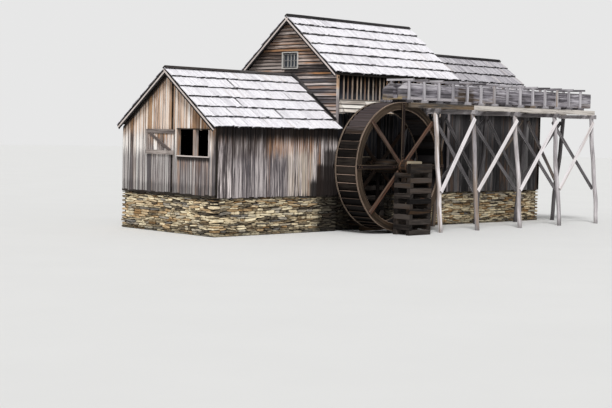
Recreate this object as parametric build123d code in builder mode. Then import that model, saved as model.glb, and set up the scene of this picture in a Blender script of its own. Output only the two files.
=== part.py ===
from build123d import *
from math import atan2, cos, hypot, radians, sin, sqrt, tan
import os

os.makedirs("parts", exist_ok=True)

# Overshot watermill: mill house with a shed on its left, a wing on its right, a boarded
# wheel in front and a raised flume on a timber trestle. Millimetres, +Z up. Z = 0 is the
# water line, where every wall, crib and post is footed. The origin lies under the wheel
# shaft, on the centre-line of the stone wall that carries the front of the mill house.
# +X runs along the ridges towards the trestle, and -Y faces the pond.

# Stone base
base_height = 1213.0
base_thickness = 450.0

# Timber walls: posts and rails inside upright boards
wall_thickness = 120.0
floor_thickness = 50.0

# Mill house
mill_left = -1292.0
mill_length = 5897.0
mill_depth = 4552.0
mill_ridge_height = 7282.0
mill_pitch = 38.67
mill_eave_reach = 223.0
mill_verge_reach = 219.0
loft_height = 4200.0
corner_board_width = 110.0
corner_board_thickness = 28.0

# Shed on the left of the mill house
shed_length = 5316.0
shed_depth = 4760.0
shed_ridge_from_front = 2290.0
shed_forward = 147.0
shed_ridge_height = 5241.0
shed_pitch = 36.33
shed_eave_reach = 228.0
shed_rear_eave_reach = 40.0
shed_verge_reach = 223.0
shed_roof_gap = 96.0

# Wing on the right of the mill house
wing_length = 5600.0
wing_ridge_drop = 932.0
wing_verge_reach = 200.0

# Roofs: boards on rafters under split shakes
roof_thickness = 90.0
ridge_board_width = 110.0
ridge_board_thickness = 28.0
verge_board_depth = 110.0
verge_board_thickness = 30.0

# Weather boards over the joint between the shed's roof and the mill house gable
joint_board_height = 90.0
joint_board_thickness = 25.0

# Openings
shed_window_width = 1595.0
shed_window_height = 885.0
shed_window_drop = 1931.0
shed_window_from_front = 275.0
shed_mullion_from_near = 726.0
shed_mullion_width = 90.0
jamb_width = 35.0
frame_overlap = 25.0
shutter_width = 1440.0
shutter_gap = 115.0
shutter_inset = 45.0
shutter_board = 24.0
shutter_ledge = 26.0
shutter_rail = 130.0
shutter_brace_width = 117.0
attic_window_width = 790.0
attic_window_height = 580.0
attic_window_rise = 194.0
casing_width = 50.0
casing_thickness = 30.0
pane_thickness = 6.0
door_width = 900.0
door_height = 1950.0
door_thickness = 45.0
door_from_left = 2300.0
shaft_hole = 560.0

# Wheel
wheel_radius = 2134.0
wheel_axis_height = 2198.0
wheel_front = -2042.0
wheel_width = 997.0
rim_depth = 245.0
rim_thickness = 75.0
sole_thickness = 30.0
bucket_count = 48
riser_height = 105.0
bucket_board = 25.0
lip_sweep = 8.0
joint_gap = 0.3
arm_count = 8
arm_width = 130.0
arm_thickness = 60.0
arm_tip_margin = 25.0
shaft_across_flats = 440.0
shaft_front = -2480.0
shaft_inside_reach = 260.0
shaft_band_width = 60.0
shaft_band_thickness = 12.0
journal_radius = 150.0
gudgeon_radius = 50.0
gudgeon_stub = 20.0
running_clearance = 0.06

# Cribs of stacked timbers under the bearings
crib_width = 1060.0
crib_timber = 150.0
crib_layers = 11
curb_height = 155.0
curb_front_height = 307.0
front_crib_near = -2940.0
front_crib_far = -2230.0
rear_crib_near = -835.0
block_width = 560.0
block_depth = 160.0
block_gap = 60.0
bearing_floor = 110.0
bearing_cover = 150.0

# Flume: its frames stand at an even pitch, and the first hides the joint with the spout
flume_start = 240.0
flume_end = 10900.0
trough_front = -2050.0
trough_width = 700.0
trough_height = 500.0
trough_board = 40.0
side_rail_width = 60.0
side_rail_depth = 45.0
sleeper_bottom = 4335.0
sleeper_depth = 90.0
sleeper_width = 90.0
frame_pitch = 760.0
upright_width = 85.0
upright_depth = 80.0
upright_top = 5050.0
tie_depth = 70.0
tie_reach = 150.0
stringer_width = 120.0
stringer_depth = 170.0
stringer_overhang = 60.0
stringer_clearance = 28.0
spout_length = 490.0
spout_nose_height = 350.0
spout_nose_run = 250.0
apron_width = 350.0
apron_drop = 90.0
apron_thickness = 25.0
apron_from_back = 80.0

# Trestle under the flume
bent_first = 1500.0
first_bay = 1980.0
bay = 2430.0
bent_count = 5
post_size = 155.0
post_batter = 5.2
cap_depth = 140.0
cap_width = 150.0
cap_reach = 120.0
brace_width = 130.0
brace_thickness = 45.0
brace_foot_height = 1350.0
brace_head_drop = 160.0

# Boarded hood on the mill house wall behind the wheel
hood_start = -1140.0
hood_end = 1400.0
hood_top = 4400.0
hood_drop = 430.0
hood_projection = 280.0
hood_thickness = 30.0

# Places worked out from the sizes above
mill_front = -base_thickness / 2
rear_crib_far = mill_front
mill_back = mill_front + mill_depth
mill_right = mill_left + mill_length
mill_ridge_y = mill_front + mill_depth / 2
shed_front = mill_front - shed_forward
shed_back = shed_front + shed_depth
shed_left = mill_left - shed_length
shed_ridge_y = shed_front + shed_ridge_from_front
wing_right = mill_right + wing_length
wing_ridge_height = mill_ridge_height - wing_ridge_drop
wheel_back = wheel_front + wheel_width
inner_radius = wheel_radius - rim_depth
trough_back = trough_front + trough_width
trough_bottom = sleeper_bottom + sleeper_depth
trough_top = trough_bottom + trough_height
stringer_bottom = sleeper_bottom - stringer_depth
cap_bottom = stringer_bottom - cap_depth
front_stringer_y = wheel_front - arm_thickness - stringer_clearance - stringer_width
rear_stringer_y = wheel_back + arm_thickness + stringer_clearance
rear_stringer_back = rear_stringer_y + stringer_width
bent_places = [bent_first] + [bent_first + first_bay + bay * i for i in range(bent_count - 1)]


def save(part, name):
    """Names the finished piece and writes it as its own file."""
    part.label = name
    export_step(part, f"parts/{name}.step")


def slab(x0, x1, y0, y1, z0, z1):
    """A plain squared piece between two corners, added to the open part."""
    size = (x1 - x0, y1 - y0, z1 - z0)
    with Locations(((x0 + x1) / 2, (y0 + y1) / 2, (z0 + z1) / 2)):
        Box(*size)


def cut_slab(x0, x1, y0, y1, z0, z1):
    """A squared opening between two corners, cut from the open part."""
    size = (x1 - x0, y1 - y0, z1 - z0)
    with Locations(((x0 + x1) / 2, (y0 + y1) / 2, (z0 + z1) / 2)):
        Box(*size, mode=Mode.SUBTRACT)


def under_roof(y, ridge_y, ridge_height, pitch):
    """Height of the underside of a roof at depth y."""
    drop = abs(y - ridge_y) * tan(radians(pitch))
    return ridge_height - roof_thickness / cos(radians(pitch)) - drop


def gable_profile(y0, y1, ridge_y, ridge_height, pitch):
    """Outline of a gable wall, from the stone base to the underside of the roof."""
    low = base_height
    Polygon(
        (y0, low),
        (y1, low),
        (y1, under_roof(y1, ridge_y, ridge_height, pitch)),
        (ridge_y, under_roof(ridge_y, ridge_y, ridge_height, pitch)),
        (y0, under_roof(y0, ridge_y, ridge_height, pitch)),
        align=None,
    )


def side_wall_profile(outer_y, inner_y, ridge_y, ridge_height, pitch):
    """Cross-section of an eaves wall, with its top cut to the slope of the roof."""
    Polygon(
        (outer_y, base_height),
        (inner_y, base_height),
        (inner_y, under_roof(inner_y, ridge_y, ridge_height, pitch)),
        (outer_y, under_roof(outer_y, ridge_y, ridge_height, pitch)),
        align=None,
    )


def slope_profile(eave_y, ridge_y, ridge_height, pitch):
    """Cross-section of one roof slope: plumb at the ridge, square at the eave."""
    side = 1 if eave_y > ridge_y else -1
    rise = tan(radians(pitch))
    plumb = roof_thickness / cos(radians(pitch))
    eave_z = ridge_height - abs(eave_y - ridge_y) * rise
    back_y = eave_y - side * roof_thickness * sin(radians(pitch))
    back_z = eave_z - roof_thickness * cos(radians(pitch))
    Polygon(
        (ridge_y, ridge_height),
        (eave_y, eave_z),
        (back_y, back_z),
        (ridge_y, ridge_height - plumb),
        align=None,
    )


def ridge_cap_profile(ridge_y, ridge_height, pitch):
    """Two boards nailed along the ridge, seated on both slopes."""
    run = ridge_board_width * cos(radians(pitch))
    drop = ridge_board_width * sin(radians(pitch))
    lift = ridge_board_thickness / cos(radians(pitch))
    Polygon(
        (ridge_y, ridge_height),
        (ridge_y + run, ridge_height - drop),
        (ridge_y + run, ridge_height - drop + lift),
        (ridge_y, ridge_height + lift),
        (ridge_y - run, ridge_height - drop + lift),
        (ridge_y - run, ridge_height - drop),
        align=None,
    )


def verge_board_profile(eave_y, ridge_y, ridge_height, pitch):
    """Face of a barge board that hangs under one edge of a roof slope."""
    rise = tan(radians(pitch))
    plumb = roof_thickness / cos(radians(pitch))
    side = 1 if eave_y > ridge_y else -1
    seat_y = eave_y - side * roof_thickness * sin(radians(pitch))
    seat_z = ridge_height - plumb - abs(seat_y - ridge_y) * rise
    depth = verge_board_depth / cos(radians(pitch))
    Polygon(
        (ridge_y, ridge_height - plumb),
        (seat_y, seat_z),
        (seat_y, seat_z - depth),
        (ridge_y, ridge_height - plumb - depth),
        align=None,
    )


# Stone base of the shed: three rubble walls that meet the base of the mill house
with BuildPart() as shed_base:
    slab(shed_left, mill_left, shed_front, shed_front + base_thickness, 0, base_height)
    slab(shed_left, mill_left, shed_back - base_thickness, shed_back, 0, base_height)
    slab(shed_left, shed_left + base_thickness, shed_front, shed_back, 0, base_height)
save(shed_base.part, "shed_foundation")

# Stone base of the mill house and the wing: a ring with a cross wall between the two
with BuildPart() as mill_base:
    slab(mill_left, wing_right, mill_front, mill_back, 0, base_height)
    cut_slab(
        mill_left + base_thickness,
        mill_right - base_thickness,
        mill_front + base_thickness,
        mill_back - base_thickness,
        0,
        base_height,
    )
    cut_slab(
        mill_right,
        wing_right - base_thickness,
        mill_front + base_thickness,
        mill_back - base_thickness,
        0,
        base_height,
    )
save(mill_base.part, "mill_foundation")

# Floors: plank decks seated on the stone and inside the walls, and the loft of the mill house
with BuildPart() as decks:
    slab(
        shed_left + wall_thickness,
        mill_left,
        shed_front + wall_thickness,
        shed_back - wall_thickness,
        base_height,
        base_height + floor_thickness,
    )
    for deck_top in (base_height + floor_thickness, loft_height):
        slab(
            mill_left + wall_thickness,
            mill_right - wall_thickness,
            mill_front + wall_thickness,
            mill_back - wall_thickness,
            deck_top - floor_thickness,
            deck_top,
        )
save(decks.part, "floors")

# Shed walls: the gable runs the full depth and the eaves walls butt against it
shed_roof = (shed_ridge_y, shed_ridge_height, shed_pitch)
window_near = shed_front + shed_window_from_front
window_far = window_near + shed_window_width
window_top = shed_ridge_height - shed_window_drop
window_sill = window_top - shed_window_height

with BuildPart() as shed_gable:
    with BuildSketch(Plane.YZ.offset(shed_left)):
        gable_profile(shed_front, shed_back, *shed_roof)
    extrude(amount=wall_thickness)
    cut_slab(
        shed_left,
        shed_left + wall_thickness,
        window_near,
        window_far,
        window_sill,
        window_top,
    )
save(shed_gable.part, "shed_gable_wall")

with BuildPart() as shed_front_wall:
    with BuildSketch(Plane.YZ.offset(shed_left + wall_thickness)):
        side_wall_profile(shed_front, shed_front + wall_thickness, *shed_roof)
    extrude(amount=shed_length - wall_thickness)
save(shed_front_wall.part, "shed_front_wall")

with BuildPart() as shed_back_wall:
    with BuildSketch(Plane.YZ.offset(shed_left + wall_thickness)):
        side_wall_profile(shed_back, shed_back - wall_thickness, *shed_roof)
    extrude(amount=shed_length - wall_thickness)
save(shed_back_wall.part, "shed_back_wall")

# Shed window: jambs, head, sill and a middle post set in the opening and standing proud
with BuildPart() as shed_window:
    proud = shed_left - frame_overlap
    inside = shed_left + wall_thickness
    slab(proud, inside, window_near, window_near + jamb_width, window_sill, window_top)
    slab(proud, inside, window_far - jamb_width, window_far, window_sill, window_top)
    slab(proud, inside, window_near, window_far, window_sill, window_sill + jamb_width)
    slab(proud, inside, window_near, window_far, window_top - jamb_width, window_top)
    mullion_y = window_near + shed_mullion_from_near
    slab(
        proud,
        inside,
        mullion_y - shed_mullion_width / 2,
        mullion_y + shed_mullion_width / 2,
        window_sill,
        window_top,
    )
save(shed_window.part, "shed_window_frame")

# Sliding shutter, pushed open beside the window: boards behind two ledges and a brace
shutter_near = window_far + shutter_gap
shutter_far = shutter_near + shutter_width
shutter_low = window_sill + shutter_inset
shutter_high = window_top - shutter_inset
with BuildPart() as shutter:
    face = shed_left - shutter_board
    ledge_face = face - shutter_ledge
    slab(face, shed_left, shutter_near, shutter_far, shutter_low, shutter_high)
    slab(ledge_face, face, shutter_near, shutter_far, shutter_low, shutter_low + shutter_rail)
    slab(ledge_face, face, shutter_near, shutter_far, shutter_high - shutter_rail, shutter_high)
    brace_low = (shutter_near + shutter_rail, shutter_low + shutter_rail)
    brace_high = (shutter_far - shutter_rail, shutter_high - shutter_rail)
    with BuildSketch(Plane.YZ.offset(ledge_face)):
        with BuildLine():
            Polyline(
                brace_low,
                (brace_low[0] + shutter_brace_width, brace_low[1]),
                brace_high,
                (brace_high[0] - shutter_brace_width, brace_high[1]),
                close=True,
            )
        make_face()
    extrude(amount=shutter_ledge)
save(shutter.part, "shed_shutter")

# Mill house walls
mill_roof = (mill_ridge_y, mill_ridge_height, mill_pitch)
attic_near = mill_ridge_y - attic_window_width / 2
attic_far = mill_ridge_y + attic_window_width / 2
attic_sill = shed_ridge_height + attic_window_rise
attic_top = attic_sill + attic_window_height

with BuildPart() as mill_left_gable:
    with BuildSketch(Plane.YZ.offset(mill_left)):
        gable_profile(mill_front, mill_back, *mill_roof)
    extrude(amount=wall_thickness)
    cut_slab(
        mill_left,
        mill_left + wall_thickness,
        attic_near,
        attic_far,
        attic_sill,
        attic_top,
    )
save(mill_left_gable.part, "mill_left_gable")

with BuildPart() as mill_right_gable:
    with BuildSketch(Plane.YZ.offset(mill_right - wall_thickness)):
        gable_profile(mill_front, mill_back, *mill_roof)
    extrude(amount=wall_thickness)
save(mill_right_gable.part, "mill_right_gable")

with BuildPart() as mill_front_wall:
    with BuildSketch(Plane.YZ.offset(mill_left + wall_thickness)):
        side_wall_profile(mill_front, mill_front + wall_thickness, *mill_roof)
    extrude(amount=mill_length - 2 * wall_thickness)
    cut_slab(
        -shaft_hole / 2,
        shaft_hole / 2,
        mill_front,
        mill_front + wall_thickness,
        wheel_axis_height - shaft_hole / 2,
        wheel_axis_height + shaft_hole / 2,
    )
save(mill_front_wall.part, "mill_front_wall")

door_left = mill_left + door_from_left
door_right = door_left + door_width
door_bottom = base_height + floor_thickness
door_top = door_bottom + door_height
with BuildPart() as mill_back_wall:
    with BuildSketch(Plane.YZ.offset(mill_left + wall_thickness)):
        side_wall_profile(mill_back, mill_back - wall_thickness, *mill_roof)
    extrude(amount=mill_length - 2 * wall_thickness)
    cut_slab(
        door_left,
        door_right,
        mill_back - wall_thickness,
        mill_back,
        door_bottom,
        door_top,
    )
save(mill_back_wall.part, "mill_back_wall")

# Rear door, shut: boards seated in the doorway
with BuildPart() as rear_door:
    slab(door_left, door_right, mill_back - door_thickness, mill_back, door_bottom, door_top)
save(rear_door.part, "rear_door")

# Attic window: casing proud of the boards, sash bars left to the finish, one pane behind
with BuildPart() as attic_casing:
    outer = mill_left - casing_thickness
    deep = mill_left + wall_thickness
    slab(
        outer,
        deep,
        attic_near,
        attic_far,
        attic_sill,
        attic_top,
    )
    cut_slab(
        outer,
        deep,
        attic_near + casing_width,
        attic_far - casing_width,
        attic_sill + casing_width,
        attic_top - casing_width,
    )
save(attic_casing.part, "attic_window_casing")

with BuildPart() as attic_pane:
    pane_x = mill_left + wall_thickness / 2
    slab(
        pane_x,
        pane_x + pane_thickness,
        attic_near + casing_width,
        attic_far - casing_width,
        attic_sill + casing_width,
        attic_top - casing_width,
    )
save(attic_pane.part, "attic_window_glass")

# Corner boards at the two front corners of the mill house
with BuildPart() as corner_boards:
    for corner_x in (mill_left, mill_right - corner_board_width):
        top = under_roof(mill_front - corner_board_thickness, *mill_roof)
        slab(
            corner_x,
            corner_x + corner_board_width,
            mill_front - corner_board_thickness,
            mill_front,
            base_height,
            top,
        )
save(corner_boards.part, "mill_corner_boards")

# Wing walls: same depth and pitch as the mill house, with a lower ridge
wing_roof = (mill_ridge_y, wing_ridge_height, mill_pitch)
with BuildPart() as wing_sides:
    for outer_y, inward in ((mill_front, wall_thickness), (mill_back, -wall_thickness)):
        with BuildSketch(Plane.YZ.offset(mill_right)):
            side_wall_profile(outer_y, outer_y + inward, *wing_roof)
        extrude(amount=wing_length - wall_thickness)
save(wing_sides.part, "wing_side_walls")

with BuildPart() as wing_gable:
    with BuildSketch(Plane.YZ.offset(wing_right - wall_thickness)):
        gable_profile(mill_front, mill_back, *wing_roof)
    extrude(amount=wall_thickness)
save(wing_gable.part, "wing_gable_wall")

# Roof slopes
shed_roof_start = shed_left - shed_verge_reach
shed_roof_end = mill_left - shed_roof_gap
mill_roof_start = mill_left - mill_verge_reach
mill_roof_end = mill_right + mill_verge_reach
wing_roof_end = wing_right + wing_verge_reach
slopes = {
    "shed_roof_front": (shed_roof_start, shed_roof_end, shed_front - shed_eave_reach, shed_roof),
    "shed_roof_back": (shed_roof_start, shed_roof_end, shed_back + shed_rear_eave_reach, shed_roof),
    "mill_roof_front": (mill_roof_start, mill_roof_end, mill_front - mill_eave_reach, mill_roof),
    "mill_roof_back": (mill_roof_start, mill_roof_end, mill_back + mill_eave_reach, mill_roof),
    "wing_roof_front": (mill_right, wing_roof_end, mill_front - mill_eave_reach, wing_roof),
    "wing_roof_back": (mill_right, wing_roof_end, mill_back + mill_eave_reach, wing_roof),
}
for slope_name, (x0, x1, eave_y, roof) in slopes.items():
    with BuildPart() as slope:
        with BuildSketch(Plane.YZ.offset(x0)):
            slope_profile(eave_y, *roof)
        extrude(amount=x1 - x0)
    save(slope.part, slope_name)

# Ridge caps: the wing's stops at the mill house gable
ridges = (
    (shed_roof_start, shed_roof_end, shed_roof),
    (mill_roof_start, mill_roof_end, mill_roof),
    (mill_right, wing_roof_end, wing_roof),
)
with BuildPart() as ridge_caps:
    for x0, x1, roof in ridges:
        with BuildSketch(Plane.YZ.offset(x0)):
            ridge_cap_profile(*roof)
        extrude(amount=x1 - x0)
save(ridge_caps.part, "ridge_caps")


def slope_strip(end_y, low, high):
    """Side view of a board laid along the shed's slope, between two plumb offsets from it."""
    drop = abs(end_y - shed_ridge_y) * tan(radians(shed_pitch))
    Polygon(
        (shed_ridge_y, shed_ridge_height + low),
        (end_y, shed_ridge_height - drop + low),
        (end_y, shed_ridge_height - drop + high),
        (shed_ridge_y, shed_ridge_height + high),
        align=None,
    )


# Joint boards: on each slope one board closes the gap and another stands on it, on the gable
plumb_height = joint_board_height / cos(radians(shed_pitch))
plumb_thickness = joint_board_thickness / cos(radians(shed_pitch))
with BuildPart() as joint_boards:
    for end_y in (mill_front, mill_back):
        with BuildSketch(Plane.YZ.offset(shed_roof_end)):
            slope_strip(end_y, -plumb_thickness, 0)
        extrude(amount=shed_roof_gap)
        with BuildSketch(Plane.YZ.offset(mill_left - joint_board_thickness)):
            slope_strip(end_y, 0, plumb_height)
        extrude(amount=joint_board_thickness)
save(joint_boards.part, "roof_joint_boards")

# Barge boards under the open edges of the roofs
verges = (
    (shed_roof_start, shed_front - shed_eave_reach, shed_back + shed_rear_eave_reach, shed_roof),
    (mill_roof_start, mill_front - mill_eave_reach, mill_back + mill_eave_reach, mill_roof),
    (
        mill_roof_end - verge_board_thickness,
        mill_front - mill_eave_reach,
        mill_back + mill_eave_reach,
        mill_roof,
    ),
    (
        wing_roof_end - verge_board_thickness,
        mill_front - mill_eave_reach,
        mill_back + mill_eave_reach,
        wing_roof,
    ),
)
with BuildPart() as barge_boards:
    for x0, near_eave, far_eave, roof in verges:
        for eave_y in (near_eave, far_eave):
            with BuildSketch(Plane.YZ.offset(x0)):
                verge_board_profile(eave_y, *roof)
            extrude(amount=verge_board_thickness)
save(barge_boards.part, "barge_boards")

# Hood on the wall behind the wheel: a sloped board roof on triangular end brackets
with BuildPart() as hood:
    hood_lean = atan2(hood_projection, hood_drop)
    plumb = hood_thickness / sin(hood_lean)
    hood_low = hood_top - hood_drop
    tip_y = mill_front - hood_projection
    with BuildSketch(Plane.YZ.offset(hood_start)):
        with BuildLine():
            Polyline(
                (mill_front, hood_top),
                (tip_y, hood_low),
                (tip_y, hood_low - plumb),
                (mill_front, hood_top - plumb),
                close=True,
            )
        make_face()
    extrude(amount=hood_end - hood_start)
    for bracket_x in (hood_start, hood_end - hood_thickness):
        with BuildSketch(Plane.YZ.offset(bracket_x)):
            with BuildLine():
                Polyline(
                    (mill_front, hood_top - plumb),
                    (tip_y, hood_low - plumb),
                    (mill_front, hood_low - plumb),
                    close=True,
                )
            make_face()
        extrude(amount=hood_thickness)
save(hood.part, "wheel_hood")


# Water wheel, turning about a level shaft that runs along Y
def wheel_plane(y):
    """Plane square to the shaft at depth y, seen from the pond: +X right, +Z up."""
    return Plane(origin=(0, y, wheel_axis_height), x_dir=(1, 0, 0), z_dir=(0, -1, 0))


def on_wheel(radius, angle):
    """A point in the wheel's plane, at a radius and an angle in degrees."""
    return (radius * cos(radians(angle)), radius * sin(radians(angle)))


def board_between(start, end, thickness):
    """Outline of a board's edge between two points, half its thickness each side."""
    run = hypot(end[0] - start[0], end[1] - start[1])
    side_x = (start[1] - end[1]) / run * thickness / 2
    side_y = (end[0] - start[0]) / run * thickness / 2
    Polygon(
        (start[0] + side_x, start[1] + side_y),
        (start[0] - side_x, start[1] - side_y),
        (end[0] - side_x, end[1] - side_y),
        (end[0] + side_x, end[1] + side_y),
        align=None,
    )


for rim_name, rim_face in (
    ("wheel_rim_front", wheel_front + rim_thickness),
    ("wheel_rim_rear", wheel_back),
):
    with BuildPart() as rim:
        with BuildSketch(wheel_plane(rim_face)):
            Circle(wheel_radius)
            Circle(inner_radius, mode=Mode.SUBTRACT)
        extrude(amount=rim_thickness)
    save(rim.part, rim_name)

drum_face = wheel_back - rim_thickness
drum_width = wheel_width - 2 * rim_thickness
with BuildPart() as sole:
    with BuildSketch(wheel_plane(drum_face)):
        Circle(inner_radius + sole_thickness)
        Circle(inner_radius, mode=Mode.SUBTRACT)
    extrude(amount=drum_width)
save(sole.part, "wheel_sole")

# Buckets: a riser square to the sole, then a lip that trails to the rim's edge
bucket_step = 360 / bucket_count
riser_root = inner_radius + sole_thickness + joint_gap
riser_tip = riser_root + riser_height
lip_tip = sqrt((wheel_radius - joint_gap) ** 2 - (bucket_board / 2) ** 2)
with BuildPart() as risers:
    with BuildSketch(wheel_plane(drum_face)):
        for i in range(bucket_count):
            angle = i * bucket_step
            board_between(on_wheel(riser_root, angle), on_wheel(riser_tip, angle), bucket_board)
    extrude(amount=drum_width)
save(risers.part, "bucket_risers")

with BuildPart() as lips:
    with BuildSketch(wheel_plane(drum_face)):
        for i in range(bucket_count):
            angle = i * bucket_step
            start = on_wheel(riser_tip + bucket_board / 2 + joint_gap, angle)
            end = on_wheel(lip_tip - bucket_board, angle - lip_sweep)
            board_between(start, end, bucket_board)
    extrude(amount=drum_width)
save(lips.part, "bucket_lips")

# Arms: eight a side, from the flats of the shaft to the face of the rim
arm_length = wheel_radius - arm_tip_margin - shaft_across_flats / 2
with BuildPart() as arms:
    for arm_face in (wheel_front, wheel_back + arm_thickness):
        with BuildSketch(wheel_plane(arm_face)):
            with PolarLocations(shaft_across_flats / 2 + arm_length / 2, arm_count):
                Rectangle(arm_length, arm_width)
        extrude(amount=arm_thickness)
save(arms.part, "wheel_arms")

# Shaft: an eight-sided log with a turned journal for the rear bearing
shaft_back = mill_front + wall_thickness + shaft_inside_reach
rear_block_y = (rear_crib_near + rear_crib_far) / 2
journal_length = block_depth + 2 * block_gap
with BuildPart() as shaft:
    octagon_radius = shaft_across_flats / 2 / cos(radians(180 / arm_count))
    with BuildSketch(wheel_plane(shaft_back)):
        RegularPolygon(octagon_radius, arm_count, rotation=180 / arm_count)
    extrude(amount=shaft_back - shaft_front)
    with BuildSketch(wheel_plane(rear_block_y + journal_length / 2)):
        Circle(octagon_radius + shaft_band_thickness)
        Circle(journal_radius, mode=Mode.SUBTRACT)
    extrude(amount=journal_length, mode=Mode.SUBTRACT)
    with BuildSketch(wheel_plane(shaft_front)):
        Circle(gudgeon_radius)
    extrude(amount=block_gap + block_depth + gudgeon_stub)
save(shaft.part, "wheel_shaft")

# Iron bands shrunk on the shaft beside the arms and at its front end
band_faces = (
    shaft_front + shaft_band_width,
    wheel_front - arm_thickness - shaft_band_width,
    wheel_back + arm_thickness + 2 * shaft_band_width,
)
with BuildPart() as bands:
    for band_face in band_faces:
        with BuildSketch(wheel_plane(band_face)):
            Circle(octagon_radius + shaft_band_thickness)
            RegularPolygon(
                octagon_radius, arm_count, rotation=180 / arm_count, mode=Mode.SUBTRACT
            )
        extrude(amount=shaft_band_width)
save(bands.part, "shaft_bands")


# Cribs: squared timbers laid crosswise in turn, with a bed beam under each bearing and a
# curb round the pond side of the front one
block_bottom = wheel_axis_height - shaft_across_flats / 2 - bearing_floor
front_block_far = shaft_front - block_gap
front_block_near = front_block_far - block_depth
rear_block_near = rear_block_y - block_depth / 2
crib_half = crib_width / 2
layer_height = block_bottom / crib_layers
crib_beds = (
    (front_crib_near, front_crib_far, front_block_near),
    (rear_crib_near, rear_crib_far, rear_block_near),
)
with BuildPart() as cross_timbers:
    for near, far, bed_near in crib_beds:
        for layer in range(0, crib_layers, 2):
            low = layer * layer_height
            for y0 in (near, far - crib_timber):
                slab(-crib_half, crib_half, y0, y0 + crib_timber, low, low + layer_height)
        bed_far = bed_near + block_depth
        slab(-crib_half, crib_half, bed_near, bed_far, block_bottom - layer_height, block_bottom)
    curb_bottom = block_bottom + curb_height
    curb_top = curb_bottom + curb_front_height
    curb_back = front_crib_near + crib_timber
    slab(-crib_half, crib_half, front_crib_near, curb_back, curb_bottom, curb_top)
save(cross_timbers.part, "crib_cross_timbers")

with BuildPart() as side_timbers:
    for x0 in (-crib_half, crib_half - crib_timber):
        for near, far, bed_near in crib_beds:
            for layer in range(1, crib_layers, 2):
                low = layer * layer_height
                slab(x0, x0 + crib_timber, near, far, low, low + layer_height)
        slab(x0, x0 + crib_timber, front_crib_near, front_crib_far, block_bottom, curb_bottom)
save(side_timbers.part, "crib_side_timbers")

# Bearing blocks: timber pillows bored for the gudgeon and the journal
bearings = ((front_block_near, gudgeon_radius), (rear_block_near, journal_radius))
with BuildPart() as bearing_blocks:
    for near, shaft_radius in bearings:
        block_top = wheel_axis_height + shaft_radius + bearing_cover
        slab(-block_width / 2, block_width / 2, near, near + block_depth, block_bottom, block_top)
        with BuildSketch(wheel_plane(near + block_depth)):
            Circle(shaft_radius + running_clearance)
        extrude(amount=block_depth, mode=Mode.SUBTRACT)
save(bearing_blocks.part, "bearing_blocks")

# Flume trough: a plank floor between two plank sides, open on top
trough_length = flume_end - flume_start
with BuildPart() as trough:
    with BuildSketch(Plane.YZ.offset(flume_start)):
        with BuildLine():
            Polyline(
                (trough_front, trough_top),
                (trough_front, trough_bottom),
                (trough_back, trough_bottom),
                (trough_back, trough_top),
                (trough_back - trough_board, trough_top),
                (trough_back - trough_board, trough_bottom + trough_board),
                (trough_front + trough_board, trough_bottom + trough_board),
                (trough_front + trough_board, trough_top),
                close=True,
            )
        make_face()
    extrude(amount=trough_length)
save(trough.part, "flume_trough")

# Spout: the open end of the trough, with its sides cut down to the lip and a short apron
# board under its floor
spout_start = flume_start - spout_length
with BuildPart() as spout:
    slab(
        spout_start,
        flume_start,
        trough_front,
        trough_back,
        trough_bottom,
        trough_bottom + trough_board,
    )
    for side_y in (trough_front + trough_board, trough_back):
        with BuildSketch(Plane.XZ.offset(-side_y)):
            with BuildLine():
                Polyline(
                    (spout_start, trough_bottom),
                    (flume_start, trough_bottom),
                    (flume_start, trough_top),
                    (spout_start + spout_nose_run, trough_top),
                    (spout_start, trough_bottom + spout_nose_height),
                    close=True,
                )
            make_face()
        extrude(amount=trough_board)
    slab(
        spout_start,
        spout_start + apron_thickness,
        trough_back - apron_from_back - apron_width,
        trough_back - apron_from_back,
        trough_bottom - apron_drop,
        trough_bottom,
    )
save(spout.part, "flume_spout")

# Rails nailed along the tops of the sides
with BuildPart() as rails:
    for rail_y in (trough_front, trough_back - side_rail_width):
        slab(
            spout_start + spout_nose_run,
            flume_end,
            rail_y,
            rail_y + side_rail_width,
            trough_top,
            trough_top + side_rail_depth,
        )
save(rails.part, "flume_rails")

# Sleepers carry the trough, and frames of two uprights and a tie hold its sides
frame_count = int((flume_end - flume_start - sleeper_width) / frame_pitch) + 1
frame_places = [flume_start + i * frame_pitch for i in range(frame_count)]
with BuildPart() as sleepers:
    for place in frame_places:
        slab(
            place - sleeper_width / 2,
            place + sleeper_width / 2,
            front_stringer_y,
            rear_stringer_back,
            sleeper_bottom,
            trough_bottom,
        )
save(sleepers.part, "flume_sleepers")

with BuildPart() as uprights:
    for place in frame_places:
        x0 = place - upright_width / 2
        x1 = place + upright_width / 2
        for y0 in (trough_front - upright_depth, trough_back):
            slab(x0, x1, y0, y0 + upright_depth, trough_bottom, upright_top)
save(uprights.part, "flume_uprights")

with BuildPart() as ties:
    for place in frame_places:
        slab(
            place - upright_width / 2,
            place + upright_width / 2,
            trough_front - upright_depth - tie_reach,
            trough_back + upright_depth + tie_reach,
            upright_top,
            upright_top + tie_depth,
        )
save(ties.part, "flume_ties")

# Stringers: two long beams outside the wheel's faces, on the caps of the trestle
with BuildPart() as stringers:
    for beam_y in (front_stringer_y, rear_stringer_y):
        slab(
            flume_start - stringer_overhang,
            flume_end,
            beam_y,
            beam_y + stringer_width,
            stringer_bottom,
            sleeper_bottom,
        )
save(stringers.part, "flume_stringers")

# Trestle bents: a cap on two posts that lean outwards on their way down. Beside the
# buildings each cap runs in to the wall, which steadies the trestle.
with BuildPart() as caps:
    for place in bent_places:
        slab(
            place - cap_width / 2,
            place + cap_width / 2,
            front_stringer_y - cap_reach,
            mill_front if place < wing_right else rear_stringer_back + cap_reach,
            cap_bottom,
            stringer_bottom,
        )
save(caps.part, "trestle_caps")

lean = tan(radians(post_batter))
front_head_y = front_stringer_y + stringer_width / 2
rear_head_y = rear_stringer_y + stringer_width / 2
heads = ((front_head_y, -1), (rear_head_y, 1))


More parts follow.
